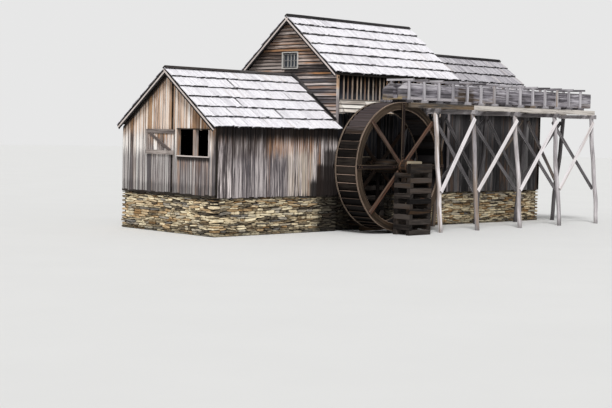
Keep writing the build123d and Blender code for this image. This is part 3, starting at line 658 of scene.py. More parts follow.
def shake_finish(name, dark, middle, pale):
    """Bleached split wood: pale fibres, thin splits, a black butt (dark end grain and painted shade) and a
    painted shade band under the next course.
    """
    wood = Finish(name, Specular_IOR_Level=0.15)
    grain = wood.grain()
    tone, warmer, kind = wood.look()
    fibre = wood.noise(grain, (2.0, 60.0, 1.0))
    streak = wood.noise(grain, (1.2, 26.0, 1.0))
    speck = wood.noise(grain, (9.0, 40.0, 1.0), detail=2.0)
    weather = wood.noise(wood.place(), (0.9, 0.9, 0.9), detail=4.0)
    split = wood.noise(grain, (0.7, 50.0, 1.0), detail=1.0).span(0.68, 0.73)
    black = (0.01, 0.01, 0.011)
    shade = tone * 0.4 + streak * 0.6 + (weather - 0.5) * 0.5
    colour = wood.ramp(shade.span(0.02, 0.62), dark, middle, pale)
    colour = wood.mix(warmer.span(0.93, 1.0, 0.0, 0.3), colour, (0.66, 0.57, 0.5))
    colour = wood.mix(speck.span(0.54, 0.68, 0.0, 0.75), colour, dark)
    colour = wood.mix(split * 0.65, colour, tuple(c * 0.35 for c in dark))
    # painted shade: a black band where each shake slips under the course above, darker butt tips, and black
    # edges and butt ends, the last partly dark end grain
    under = wood.fall() + (streak - 0.5) * 0.1
    colour = wood.mix(under.span(shake_shown - 0.03, shake_shown - 0.002, 0.0, 0.85), colour, black)
    colour = wood.mix(wood.fall().span(0.03, 0.0, 0.0, 0.3), colour, dark)
    colour = wood.mix(kind.span(0.4, 1.8, 0.0, 0.98), colour, black)
    return wood.done(colour, fibre.span(0.3, 0.7, 0.8, 0.95), fibre + streak - split, 0.003)


shakes_pale = shake_finish("sunlit_shakes", (0.52, 0.5, 0.53), (0.84, 0.82, 0.86), (0.95, 0.93, 0.97))
shakes_grey = shake_finish("wing_shakes", (0.2, 0.185, 0.205), (0.4, 0.38, 0.41), (0.58, 0.56, 0.59))


# %% Stone, glass and iron finishes
def stone_finish(name):
    """Fieldstone: tan, brown and grey with mottling, darker near the water, with painted shade by the wheel
    and under the boards.
    """
    stone = Finish(name, Specular_IOR_Level=0.2)
    place = stone.place()
    tone, warmer, kind = stone.look()
    mottle = stone.noise(place, (9.0, 9.0, 14.0), detail=5.0, roughness=0.65)
    speck = stone.noise(place, (55.0, 55.0, 70.0), detail=2.0)
    black = (0.012, 0.01, 0.009)
    shade = (tone * 0.7 + mottle * 0.8).span(0.35, 1.05)
    colour = stone.ramp(shade, (0.04, 0.031, 0.024), (0.38, 0.3, 0.19), (0.92, 0.8, 0.56))
    colour = stone.mix(warmer.span(0.6, 1.0, 0.0, 0.6), colour, (0.48, 0.27, 0.1))
    colour = stone.mix(warmer.span(0.3, 0.0, 0.0, 0.6), colour, (0.3, 0.29, 0.28))
    colour = stone.mix(speck.span(0.6, 0.72, 0.0, 0.5), colour, (0.62, 0.58, 0.5))
    across, inward, height = stone.apart(place)
    damp = (height + mottle * 0.25).span(0.36, 0.1)
    colour = stone.mix(damp * 0.75, colour, (0.045, 0.04, 0.028))
    across = across + (mottle - 0.5) * 1.2
    # painted shade: stones by and behind the wheel are made near black
    wet = across.span(-2.7, -1.9) * across.span(2.2, 1.5) * inward.span(1.0, 0.4)
    colour = stone.mix(wet * 0.93, colour, black)
    # painted shade: the top of the stones is darkened under the boards
    under = height + (mottle - 0.5) * 0.12
    colour = stone.mix(under.span(1.11, 1.17, 0.0, 0.9), colour, black)
    return stone.done(colour, damp.span(0.0, 1.0, 0.92, 0.55), mottle + speck * 0.3, 0.012)


def core_finish(name):
    """Earth and chips packed behind the facing stones."""
    core = Finish(name)
    cloud = core.noise(core.place(), (12.0, 12.0, 12.0), detail=5.0)
    return core.done(core.ramp(cloud, (0.008, 0.006, 0.005), (0.05, 0.04, 0.03)), 1.0, cloud, 0.02)


def glass_finish(name):
    """Old window glass, dark behind, with a slow ripple."""
    glass = Finish(name, Specular_IOR_Level=0.3)
    place = glass.place()
    dust = glass.noise(place, (6.0, 6.0, 6.0))
    colour = glass.ramp(dust, (0.008, 0.011, 0.016), (0.04, 0.05, 0.064))
    return glass.done(colour, 0.12, glass.noise(place, (3.0, 3.0, 3.0)), 0.01)


def iron_finish(name):
    """Wrought iron, dark where it is sound and orange where rust has bloomed."""
    iron = Finish(name)
    bloom = iron.noise(iron.place(), (26.0, 26.0, 26.0), detail=5.0, roughness=0.7)
    rust = ((0.022, 0.019, 0.018), (0.075, 0.04, 0.022), (0.22, 0.095, 0.04))
    return iron.done(iron.ramp(bloom.span(0.35, 0.7), *rust), bloom.span(0.3, 0.7, 0.5, 0.9), bloom, 0.002)


def paint_finish(name, shade):
    """Chalky paint, worn through to grey wood at the edges."""
    paint = Finish(name)
    kind = paint.look()[2]
    flake = paint.noise(paint.grain(), (5.0, 30.0, 1.0), detail=4.0)
    bare = (flake + kind * 0.12).span(0.62, 0.68, 0.0, 0.8)
    colour = paint.ramp(flake.span(0.3, 0.7), tuple(0.68 * c for c in shade), shade)
    return paint.done(paint.mix(bare, colour, (0.24, 0.2, 0.17)), 0.7, flake - bare, 0.002)


rubble = stone_finish("rubble_stone")
core = core_finish("packed_core")
old_glass = glass_finish("old_glass")
rusty_iron = iron_finish("rusty_iron")
white_paint = paint_finish("white_paint", (0.8, 0.78, 0.74))
grey_paint = paint_finish("grey_paint", (0.24, 0.235, 0.235))

# %% [markdown]
# ## Floor, backdrop and light
#
# The mill stands on a plain pale floor under soft studio light. A large soft sun from the
# left front shapes it, and an even white world fills the shade. Together they light a surface
# about as brightly as its colour is written. What the camera sees behind the mill comes from
# the Light Path node, so the pale backdrop adds no light of its own.

# %% Stage
floor_reach = 150.0
floor_line = (-floor_reach, 0.0, floor_reach)
floor_mesh = bpy.data.meshes.new("floor")
floor_mesh.from_pydata([(x, y, 0.0) for x in floor_line for y in floor_line], [],
                       [(i, i + 3, i + 4, i + 1) for i in (0, 1, 3, 4)])
floor_finish = Finish("studio_floor", Roughness=0.95)
floor_cloud = floor_finish.noise(floor_finish.place(), (0.4, 0.4, 0.4))
floor_shade = floor_finish.ramp(floor_cloud, (0.74, 0.74, 0.73), (0.78, 0.78, 0.77))
floor_finish.feed(floor_finish.inputs["Base Color"], floor_shade)
floor_mesh.materials.append(floor_finish.material)
floor = bpy.data.objects.new("floor", floor_mesh)
bpy.context.scene.collection.objects.link(floor)

# %% Light
sky_strength = 0.4
backdrop_strength = 0.8
sun_from = Vector((-0.55, -0.5, 0.95))

world = bpy.data.worlds.new("studio")
bpy.context.scene.world = world
world.use_nodes = True
air = Kit(world.node_tree)
sky = air.nodes["Background"]
air.feed(sky.inputs["Color"], (1.0, 1.0, 1.0))
rays = air.add("LightPath").outputs
seen = Value(air, rays["Is Camera Ray"])
for ray in ("Is Glossy Ray", "Is Transmission Ray"):
    seen = air.math("MAXIMUM", seen, Value(air, rays[ray]))
strength = air.get("MapRange", 0, Value=seen, To_Min=sky_strength, To_Max=backdrop_strength)
air.feed(sky.inputs["Strength"], strength)

sun = bpy.data.objects.new("soft_sun", bpy.data.lights.new("soft_sun", "SUN"))
sun.data.energy = 2.4
sun.data.angle = radians(16)
sun.rotation_euler = sun_from.to_track_quat("Z", "Y").to_euler()
bpy.context.scene.collection.objects.link(sun)
bpy.context.scene.view_settings.view_transform = "Standard"
print("light: sky", sky_strength, "sun", sun.data.energy)


# %% [markdown]
# ## Sizes read from the frame
#
# Boards have to land exactly where the plain walls and roofs are, so their sizes are read from
# the boxes of those nodes. Only what a box can't say, such as the pitch of a roof, is named
# again here.

# %% Sizes
def corners(node):
    """Lowest and highest corner of a plain node as arrays."""
    low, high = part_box(node)
    return np.array(low), np.array(high)


shed_low, shed_high = corners("shed_gable_wall")
house_low, house_high = corners("mill_left_gable")
house_far = corners("mill_right_gable")[1][0]
wing_far = corners("wing_gable_wall")[1][0]
base_low, base_high = corners("mill_foundation")
base_top = corners("shed_foundation")[1][2]
shed_pitch = radians(36.33)
house_pitch = radians(38.67)
roof_depth = 0.09
wall_depth = 0.12
base_depth = 0.45


class Roof:
    """The underside of a pair of slopes: where the boards of a gable or a wall have to end."""

    def __init__(self, front_node, pitch):
        low, high = corners(front_node)
        self.pitch, self.ridge_y, self.ridge_z = pitch, high[1], high[2]
        self.peak = self.ridge_z - roof_depth / cos(pitch)

    def under(self, y):
        """Height of the underside at a depth y."""
        return self.peak - abs(y - self.ridge_y) * tan(self.pitch)

    def edge(self, wall):
        """Function of height: depth of a gable's edge there, either the wall or the roof."""
        reach = abs(wall - self.ridge_y)
        side = copysign(1.0, wall - self.ridge_y)
        return lambda z: self.ridge_y + side * min(reach, max(self.peak - z, 0.0) / tan(self.pitch))


shed_roof = Roof("shed_roof_front", shed_pitch)
house_roof = Roof("mill_roof_front", house_pitch)
wing_roof = Roof("wing_roof_front", house_pitch)
print("ridges at", [round(roof.ridge_z, 3) for roof in (shed_roof, house_roof, wing_roof)])

# %% [markdown]
# ## Board walls
#
# The walls are boards on posts and rails. A wall is worked out in two steps. First a table is
# made with one row a board: where its middle is, how wide it is, where it starts and ends, and
# the slope of its cut ends. Then the whole table goes to the timber function in one call.
# Uneven widths come from a seeded generator, so the same wall comes out each time.


# %% Tables of boards
def board_edges(breaks, mean, rng, spread=0.35):
    """Edges of boards of uneven width, with an edge at every break that is asked for."""
    edges = [breaks[0]]
    for near, far in zip(breaks, breaks[1:]):
        widths = rng.uniform(1 - spread, 1 + spread, max(1, round((far - near) / mean)))
        edges.extend(near + np.cumsum(widths) / widths.sum() * (far - near))
    return np.array(edges)


def centres(edges):
    """Half-way between each edge and the next."""
    return (edges[1:] + edges[:-1]) / 2


def upright_table(edges, foot, head_at, holes=()):
    """Rows of upright boards: middle, width, foot, head, slope of the head. Holes part a board."""
    rows = []
    for near, far in zip(edges, edges[1:]):
        middle = (near + far) / 2
        slope = (head_at(far) - head_at(near)) / (far - near)
        spans = [(foot, head_at(middle), slope)]
        for left, right_side, low, high in holes:
            if left < middle < right_side:
                spans = [(foot, low, 0.0), (high, head_at(middle), slope)]
        rows.extend((middle, far - near, *span) for span in spans)
    return np.array(rows)


def level_table(lines, near_at, far_at, rng, holes=(), longest=3.0):
    """Rows of level boards: middle, height, two ends and their slopes. Holes part a board."""
    rows = []
    for low, high in zip(lines, lines[1:]):
        level, tall = (low + high) / 2, high - low
        near_slope, far_slope = ((at_z(high) - at_z(low)) / tall for at_z in (near_at, far_at))
        spans = [(near_at(level), far_at(level), near_slope, far_slope)]
        for near, far, bottom, top in holes:
            if bottom < level < top:
                spans = [(near_at(level), near, near_slope, 0.0), (far, far_at(level), 0.0, far_slope)]
        for start, end, near_slope, far_slope in spans:
            joints = board_edges([start, end], longest, rng)
            slopes = np.zeros((len(joints) - 1, 2))
            slopes[0, 0], slopes[-1, 1] = near_slope, far_slope
            rows.extend((level, tall, a, b, *pair) for a, b, pair in zip(joints, joints[1:], slopes))
    return np.array(rows)


def lining_table(foot, top, count, near_at, far_at, rng, holes=(), longest=3.0):
    """Rows of level lining, with the nearest edge moved to the foot and head of each hole."""
    lines = np.linspace(foot, top, count)
    for level in [level for hole in holes for level in hole[2:]]:
        lines[np.argmin(abs(lines - level))] = level
    return level_table(lines, near_at, far_at, rng, holes, longest)


# %% Boards from tables
lining_depth = 0.022


def upright_boards(table, corner, direction, outward, depth, rng, inset=0.0, gap=0.006,
                   ragged=0.012, **look):
    """Upright boards on a wall whose outer face passes through the corner."""
    middle, width, foot, head, slope = table.T
    width = width - gap * rng.uniform(0.3, 1.7, len(table))
    proud = inset + depth / 2 + rng.uniform(0, 0.004, len(table))
    base = corner + np.outer(middle, direction) - np.outer(proud, outward)
    start = base + np.outer(foot - rng.uniform(0, ragged, len(table)), up)
    return timbers(start, base + np.outer(head, up), direction, width, depth, rng, arris=0.003,
                   bow=0.003, wind=0.012, rough=0.0008, skew=(np.zeros(len(table)), slope),
                   edges=side_faces, **look)


def level_boards(table, corner, direction, outward, depth, rng, inset=0.0, gap=0.004, lean=0.0,
                 **look):
    """Level boards on a wall. A lean tips the top of each board inwards, as lapped siding lies."""
    level, height, near, far, near_slope, far_slope = table.T
    across = up * cos(lean) - outward * sin(lean)
    base = corner + np.outer(level, up) - outward * (inset + depth / 2)
    base = base - np.outer(rng.uniform(0, 0.002, len(table)), outward)
    return timbers(base + np.outer(near + gap / 2, direction), base + np.outer(far - gap / 2, direction),
                   across, height - gap, depth, rng, arris=0.002, bow=0.002, wind=0.008,
                   rough=0.0006, skew=(near_slope, far_slope), **look)


def backed(wall, lining, places, foot, head_at, rng, inset, holes=(), step=0.0):
    """What is behind a wall's skin: the lining, then posts that are cut to the roof."""
    post_wide = 0.09
    behind = inset + lining_depth + step
    posts = [upright_table((place - post_wide / 2, place + post_wide / 2), foot, head_at, holes)
             for place in places]
    return [
        level_boards(lining, *wall, lining_depth, rng, inset=inset, gap=0.0, finish=1),
        upright_boards(np.concatenate(posts), *wall, wall_depth - behind, rng, inset=behind, gap=0.0,
                       ragged=0.0, finish=1),
    ]


# %% [markdown]
# ## The shed
#
# The shed's gable wall faces left. Its boards run past the head of an open window, and a
# ledged shutter has been slid aside on it. Rain has bleached the boards and left rust-brown
# stains under the rake, which the finish paints by the distance left to the top of each board.

# %% Shed's gable
board_depth = 0.026
behind_boards = board_depth + 0.004
window_low, window_high = corners("shed_window_frame")
window_hole = (window_low[1], window_high[1], window_low[2], window_high[2])
rng = seeded(3)
wall = (right * shed_low[0], back, -right)
wide_joint_y = 1.77
sill_tall = 0.08
gable_breaks = sorted([shed_low[1], *window_hole[:2], shed_roof.ridge_y, wide_joint_y, shed_high[1]])
gable_edges = board_edges(gable_breaks, 0.155, rng)
table = upright_table(gable_edges, base_top + sill_tall, shed_roof.under, [window_hole])
from_joint = table[:, 0] - wide_joint_y
beside_joint = abs(abs(from_joint) - table[:, 1] / 2) < 0.001
table[beside_joint, 1] -= 0.05
table[beside_joint, 0] += np.sign(from_joint[beside_joint]) * 0.025
sill_start = at(shed_low[0] + 0.03, shed_low[1], base_top + sill_tall / 2)
parts = [
    upright_boards(table, *wall, board_depth, rng, gap=0.016, ragged=0.05),
    timbers(sill_start, sill_start + back * (shed_high[1] - shed_low[1]), up, sill_tall, 0.05, rng,
            finish=1),
    *backed(wall, lining_table(base_top, shed_roof.peak - 0.02, 17, shed_roof.edge(shed_low[1]),
                               shed_roof.edge(shed_high[1]), rng, [window_hole]),
            (shed_low[1] + 0.05, -0.06, 1.63, 2.9, shed_high[1] - 0.05), base_top, shed_roof.under,
            rng, behind_boards, [window_hole]),
]
piece("shed_gable_planks", parts, [gable_wood, shaded_inner_wood], ["shed_gable_wall"])


# %% Walls under the eaves
def eaves_wall(name, node, roof, outward, seed, mean, finishes, battens=0.0, holes=(), skin=0.0,
               gap=0.006, spread=0.35):
    """A long wall under the eaves: upright boards, lining and posts, with battens if asked for."""
    rng = seeded(seed)
    low, high = corners(node)
    face = low[1] if outward[1] < 0 else high[1]
    wall = (back * face, right, outward)
    head = roof.under(face)
    breaks = sorted([low[0], high[0]] + [x for hole in holes for x in hole[:2]])
    edges = board_edges(breaks, mean, rng, spread)
    table = upright_table(edges, low[2], lambda x: head, holes)
    tone = np.clip(rng.normal(0.5, 0.2, len(table)), 0.1, 0.9)
    parts = [upright_boards(table, *wall, board_depth, rng, inset=skin, gap=gap, ragged=0.03, tone=tone)]
    lining = lining_table(low[2], head, max(3, round((head - low[2]) / 0.24)), lambda z: low[0],
                          lambda z: high[0], rng, holes, longest=2.8)
    parts += backed(wall, lining, np.arange(low[0] + 0.4, high[0], 0.95), low[2], lambda x: head, rng,
                    skin + behind_boards, holes)
    if battens:
        strips = table[1:].copy()
        strips[:, 0] -= strips[:, 1] / 2
        strips[:, 1] = battens
        parts.append(upright_boards(strips, *wall, skin, rng, gap=0.0, ragged=0.03, finish=2))
    piece(name, parts, finishes, [node])


eaves_wall("shed_front_planks", "shed_front_wall", shed_roof, -back, 4, 0.165, [shed_wood, shaded_inner_wood],
           gap=0.018)
eaves_wall("shed_back_planks", "shed_back_wall", shed_roof, back, 5, 0.165, [back_wood, shaded_inner_wood],
           gap=0.018)

# %% [markdown]
# ## Openings of the shed
#
# Two jambs, a head, a sill and a middle post frame the opening. They are the same timber with
# different ages, so each is given its own tone and warmth instead of a random one, and the head
# takes the dark inner finish as a painted shadow line. The shutter is boards nailed behind two
# ledges, with a brace between them and a stile at its far edge.

# %% Window and shutter
rng = seeded(6)
jamb, middle_post = 0.035, 0.09
frame_x = (window_low[0] + window_high[0]) / 2
frame_deep = window_high[0] - window_low[0]
frame_ys = np.array([window_low[1] + jamb / 2, window_low[1] + 0.726, window_high[1] - jamb / 2])
jamb_start = at(frame_x, frame_ys, window_low[2] + jamb)
rail_start = at(frame_x, window_low[1], [window_low[2] + jamb / 2, window_high[2] - jamb / 2])
rail_end = rail_start + back * (window_high[1] - window_low[1])
parts = [
    timbers(jamb_start, jamb_start + up * (window_high[2] - window_low[2] - 2 * jamb), back,
            np.array([jamb, middle_post, jamb]), frame_deep, rng, rough=0.0015,
            tone=(0.8, 0.55, 0.5), warm=(0.0, 0.85, 1.0)),
    timbers(rail_start[:1], rail_end[:1], up, jamb, frame_deep, rng, rough=0.0015, tone=0.98, warm=0.1),
    # painted shadow: the head rail is dark, for the shade at the top of the opening
    timbers(rail_start[1:], rail_end[1:], up, jamb, frame_deep, rng, rough=0.0015, finish=1),
]
piece("shed_window_timbers", parts, [trim_wood, shaded_inner_wood], ["shed_window_frame"])

low, high = corners("shed_shutter")
shutter_board, ledge, ledge_wide = 0.024, 0.026, 0.13
wall = (right * (high[0] - shutter_board), back, -right)
edges = board_edges([low[1], high[1]], 0.17, rng)
table = upright_table(edges, low[2], lambda y: high[2])
ledge_x = low[0] + ledge / 2
foot_z, head_z = low[2] + ledge_wide, high[2] - ledge_wide
ledge_start = at(ledge_x, low[1], [foot_z - ledge_wide / 2, head_z + ledge_wide / 2])
stile_y, brace_inset = high[1] - 0.05, 0.19
parts = [
    upright_boards(table, *wall, shutter_board, rng, gap=0.008, ragged=0.0),
    timbers(ledge_start, ledge_start + back * (high[1] - low[1]), up, ledge_wide, ledge,
            rng, rough=0.001, tone=(0.45, 0.3), warm=(0.1, 0.1), finish=1),
    timbers(at(ledge_x, low[1] + brace_inset, foot_z), at(ledge_x, high[1] - brace_inset, head_z),
            up, ledge_wide * 0.8, ledge, rng, tone=0.1, warm=0.1, finish=1),
    timbers(at(ledge_x, stile_y, foot_z), at(ledge_x, stile_y, head_z), back, 0.09, ledge, rng,
            tone=0.35, warm=0.6, finish=1),
]
piece("shutter_planks", parts, [gable_wood, trim_wood], ["shed_shutter"])

# %% [markdown]
# ## The mill house
#
# The gables are lapped siding: each board overlaps the one below, so its lower edge stands
# proud and throws a thin shadow, and the finish adds a painted shade line there. The long walls
# are board and batten, with a narrow strip nailed over every joint. The strips catch the light,
# and the boards behind them are painted nearly black as shade.

# %% Gables in lapped siding
lap_cover = 0.022
lap_depth = 0.018
lap_lean = asin(lap_depth / (lap_reveal + lap_cover))
attic_low, attic_high = corners("attic_window_casing")
attic_hole = (attic_low[1], attic_high[1], attic_low[2], attic_high[2])
gable_ends = (house_roof.edge(house_low[1]), house_roof.edge(house_high[1]))
post_ys = [house_low[1] + 0.05, house_low[1] + 1.1, house_roof.ridge_y - 0.6, house_roof.ridge_y + 0.6,
           house_high[1] - 1.1, house_high[1] - 0.05]
for side, gable_x, outward, seed, holes in (("left", house_low[0], -right, 7, [attic_hole]),
                                            ("right", house_far, right, 8, [])):
    rng = seeded(seed)
    wall = (right * gable_x, back, outward)
    siding_lines = np.arange(base_top, house_roof.peak - 0.05, lap_reveal)
    siding = level_table(siding_lines, *gable_ends, rng, holes, longest=1.9)
    siding[:, 1] += lap_cover
    parts = [level_boards(siding, *wall, lap_depth, rng, inset=lap_depth * 0.6, lean=lap_lean)]
    lining = lining_table(base_top, house_roof.peak - 0.02, 24, *gable_ends, rng, holes)
    parts += backed(wall, lining, post_ys, base_top, house_roof.under, rng, 0.042, holes, step=0.002)
    piece(f"{side}_gable_siding", parts, [siding_wood, shaded_inner_wood], [f"mill_{side}_gable"])

# %% Board and batten walls
shaft_half = 0.28
shaft_z = sum(corner[2] for corner in corners("wheel_rim_front")) / 2
shaft_opening = (-shaft_half, shaft_half, shaft_z - shaft_half, shaft_z + shaft_half)
door_low, door_high = corners("rear_door")
door_hole = (door_low[0], door_high[0], door_low[2], door_high[2])
battened = {"battens": 0.06, "skin": 0.022, "spread": 0.2}
eaves_wall("house_front_planks", "mill_front_wall", house_roof, -back, 9, 0.205,
           [shaded_wall_wood, shaded_inner_wood, batten_wood], holes=[shaft_opening], **battened)
eaves_wall("house_back_planks", "mill_back_wall", house_roof, back, 10, 0.245,
           [back_wood, shaded_inner_wood, trim_wood], holes=[door_hole], **battened)

# %% Wing walls
rng = seeded(11)
low, high = corners("wing_side_walls")
parts = []
for wing_y, outward in ((low[1], -back), (high[1], back)):
    wall = (back * wing_y, right, outward)
    top = wing_roof.under(wing_y)
    edges = board_edges([low[0], high[0]], 0.19, rng)
    table = upright_table(edges, base_top, lambda x: top)
    parts.append(upright_boards(table, *wall, board_depth, rng, ragged=0.03))
    lining = lining_table(base_top, top, 14, lambda z: low[0], lambda z: high[0], rng)
    parts += backed(wall, lining, np.arange(low[0] + 0.5, high[0], 0.95), base_top,
                    lambda x: top, rng, behind_boards)
piece("wing_side_planks", parts, [shaded_wing_wood, shaded_inner_wood], ["wing_side_walls"])

low, high = corners("wing_gable_wall")
wall = (right * high[0], back, right)
end_edges = board_edges([low[1], wing_roof.ridge_y, high[1]], 0.19, rng)
lining = lining_table(base_top, wing_roof.peak - 0.02, 20, wing_roof.edge(low[1]),
                      wing_roof.edge(high[1]), rng)
parts = [
    upright_boards(upright_table(end_edges, base_top, wing_roof.under), *wall, board_depth, rng,
                   ragged=0.03),
    *backed(wall, lining, np.linspace(low[1] + 0.2, high[1] - 0.2, 5), base_top, wing_roof.under,
            rng, behind_boards),
]
piece("wing_gable_planks", parts, [shaded_wing_wood, shaded_inner_wood], ["wing_gable_wall"])

# %% [markdown]
# ## Attic window, door and corner boards
#
# The attic window is a painted casing with a sash of eight panes, four across and two high.
# The rear door is plain: boards, two strap hinges and a latch plate.

# %% Attic window
rng = seeded(12)
casing, casing_ring, stile, bar, bar_deep = 0.05, 0.024, 0.03, 0.018, 0.02
pane_count = 4
low, high = corners("attic_window_glass")
sash_x = low[0] - 0.012


def window_ring(low, high, x, wide, deep, **look):
    """Two stiles and two rails round an opening in the plane of a gable."""
    foot = at(x, [low[1] + wide / 2, high[1] - wide / 2], low[2])
    near = at(x, low[1], [low[2] + wide / 2, high[2] - wide / 2])
    return [
        timbers(foot, foot + up * (high[2] - low[2]), back, wide, deep, rng, rough=0.001, **look),
        timbers(near, near + back * (high[1] - low[1]), up, wide, deep - 0.004, rng, rough=0.001, **look),
    ]


bar_ys = np.linspace(low[1] + stile, high[1] - stile, pane_count + 1)[1:-1]
cross_z = (low[2] + high[2]) / 2
parts = [
    *window_ring(attic_low, attic_high, (attic_low[0] + attic_high[0]) / 2, casing_ring,
                 attic_high[0] - attic_low[0]),
    *window_ring(attic_low + casing_ring, attic_high - casing_ring, sash_x, casing - casing_ring, 0.034,
                 finish=2, tone=0.1),
    *window_ring(low, high, sash_x, stile, 0.024, finish=1, tone=0.4),
    timbers(at(sash_x, bar_ys, low[2]), at(sash_x, bar_ys, high[2]), back, bar, bar_deep, rng),
    timbers(at(sash_x, low[1], cross_z), at(sash_x, high[1], cross_z), up, bar, bar_deep,
            rng, finish=1),
]
piece("attic_window_sash", parts, [white_paint, grey_paint, ridge_wood], ["attic_window_casing"])

pane_ys = centres(np.linspace(low[1], high[1], pane_count + 1)).repeat(2)
pane_start = at((low[0] + high[0]) / 2, pane_ys, [low[2], cross_z] * pane_count)
panes = timbers(pane_start, pane_start + up * (cross_z - low[2]), back,
                (high[1] - low[1]) / pane_count, 0.004, rng, arris=0.0005, wind=0.01)
piece("attic_panes", [panes], [old_glass], ["attic_window_glass"])

# %% Door and corner boards
rng = seeded(13)
door_skin = 0.006
table = upright_table(board_edges([door_low[0], door_high[0]], 0.15, rng), door_low[2],
                      lambda x: door_high[2])
iron_y = door_high[1] - door_skin / 2
strap_start = at(door_low[0] + 0.01, iron_y, [door_low[2] + 0.3, door_high[2] - 0.3])
plate_start = at(door_high[0] - 0.1, iron_y, door_low[2] + 0.95)
parts = [
    upright_boards(table, back * door_high[1], right, back, 0.045 - door_skin, rng,
                   inset=door_skin, gap=0.004, ragged=0.0),
    timbers(strap_start, strap_start + right * 0.62, up, (0.05, 0.03), door_skin, rng, finish=1),
    timbers(plate_start, plate_start + up * 0.16, right, 0.06, door_skin, rng, finish=1),
]
piece("rear_door_planks", parts, [back_wood, rusty_iron], ["rear_door"])

low, high = corners("mill_corner_boards")
corner_wide, corner_deep = 0.11, 0.028
corner_start = at([low[0] + corner_wide / 2, high[0] - corner_wide / 2],
                  (low[1] + high[1]) / 2, low[2])
corner_parts = timbers(corner_start, corner_start + up * (high[2] - low[2]), right, corner_wide,
                       corner_deep, rng, stations=8, rough=0.001, tone=(0.95, 0.6), warm=(0.75, 0.3))
piece("corner_trim", [corner_parts], [corner_wood], ["mill_corner_boards"])

# %% [markdown]
# ## Roofs of split shakes
#
# A shake is a thin wedge, thick at the butt. Each course covers the top of the one below, six
# courses to a slope. A slope is a flat coordinate system: x along the ridge, s down the slope
# and h above it. Every shake gets a small random turn and slip. On the shed's front slope a
# few are narrower than their place, which leaves dark slots.


# %% Slope coordinates
class Slope:
    """One side of a roof. Points on it are x along the ridge, s down the slope and h above."""

    def __init__(self, node, pitch, side):
        low, high = corners(node)
        self.x0, self.x1 = low[0], high[0]
        ridge_y, eave = (high[1], low[1]) if side < 0 else (low[1], high[1])
        self.ridge = np.array([0.0, ridge_y, high[2]])
        self.length = abs(eave - ridge_y) / cos(pitch)
        self.down = np.array([0.0, side * cos(pitch), -sin(pitch)])
        self.normal = np.array([0.0, side * sin(pitch), cos(pitch)])
        self.across = -side * right

    def at(self, x, s, h):
        """Places on the slope, from arrays or numbers that broadcast together."""
        x, s, h = (np.asarray(v, float)[..., None] for v in (x, s, h))
        return self.ridge + x * right + s * self.down + h * self.normal


# %% Shakes
shake_courses = 6
shake_overlap = 1.3
shake_top_depth = 0.009
shake_wide = 0.13
butt_height = 0.03
bed_height = -0.04
sheath_wide, sheath_thick, sheath_step = 0.205, 0.022, 0.235
rafter_wide, rafter_deep = 0.06, 0.03


def shake_rows(slope, rng, slots, eave_reach):
    """One row a shake: middle, width and distance of its butt from the ridge."""
    rows = []
    exposure = slope.length / shake_courses
    for course in range(shake_courses):
        start = slope.x0 - rng.uniform(0.0, 0.02)
        stop = slope.x1 + (eave_reach if course == shake_courses - 1 else rng.uniform(0.0, 0.02))
        edges = board_edges([start, stop], shake_wide, rng)
        middle, width = centres(edges), np.diff(edges)
        butt = exposure * (course + 1) + rng.normal(0, 0.015, len(width))
        for slot_x, slot_course, slot_width in slots:
            if slot_course == course:
                nearest = np.argmin(abs(middle - slot_x))
                width[nearest] = max(width[nearest] - slot_width, 0.03)
                middle[nearest] -= slot_width / 2
        rows.append(np.stack([middle, width, butt], axis=1))
    return np.concatenate(rows)


def shaked_roof(name, node, pitch, side, seed, finish, slots=(), eave_reach=0.01):
    """A roof slope: shakes on level sheathing on rafters."""
    rng = seeded(seed)
    slope = Slope(node, pitch, side)
    middle, width, butt = shake_rows(slope, rng, slots, eave_reach).T
    count = len(middle)
    top = np.maximum(butt - slope.length / shake_courses * shake_overlap, 0.03)
    depth = rng.uniform(0.026, 0.056, count)
    turn = rng.normal(0, 0.006, count)
    butt_lift = butt_height + rng.normal(0, 0.005, count)
    start = slope.at(middle - turn, top, bed_height + shake_top_depth / 2)
    end = slope.at(middle + turn, butt, butt_lift - depth / 2)
    shakes = timbers(start, end, slope.across, width - rng.uniform(0.002, 0.012, count),
                     (np.full(count, shake_top_depth), depth), rng, stations=3, arris=0.003,
                     bow=0.003, wind=0.02, rough=0.0012)
    boards = np.arange(0.02, slope.length - 0.1, sheath_step) + sheath_wide / 2
    joints = [board_edges([slope.x0, slope.x1], 2.9, rng) for _ in boards]
    s, x0, x1 = np.array([(s, a, b) for s, j in zip(boards, joints) for a, b in zip(j, j[1:])]).T
    sheath_h = bed_height - sheath_thick / 2
    sheathing = timbers(slope.at(x0, s, sheath_h), slope.at(x1, s, sheath_h), slope.down, sheath_wide,
                        sheath_thick, rng, stations=3, rough=0.001, finish=1)
    places = np.arange(slope.x0 + 0.35, slope.x1 - 0.1, 0.61)
    rafter_h = bed_height - sheath_thick - rafter_deep / 2
    rafters = timbers(slope.at(places, 0.03, rafter_h), slope.at(places, slope.length - 0.05, rafter_h),
                      slope.across, rafter_wide, rafter_deep, rng, finish=1)
    piece(name, [shakes, sheathing, rafters], [finish, shaded_inner_wood], [node])


shed_slots = ((-4.62, 1, 0.075), (-4.92, 3, 0.075), (-3.67, 4, 0.075), (-2.6, 2, 0.03), (-5.7, 4, 0.03))
shaked_roof("shed_shakes_front", "shed_roof_front", shed_pitch, -1, 21, shakes_pale, shed_slots, 0.09)
shaked_roof("shed_shakes_back", "shed_roof_back", shed_pitch, 1, 22, shakes_pale)
shaked_roof("house_shakes_front", "mill_roof_front", house_pitch, -1, 23, shakes_pale)
shaked_roof("house_shakes_back", "mill_roof_back", house_pitch, 1, 24, shakes_pale)
shaked_roof("wing_shakes_front", "wing_roof_front", house_pitch, -1, 25, shakes_grey)
shaked_roof("wing_shakes_back", "wing_roof_back", house_pitch, 1, 26, shakes_grey)

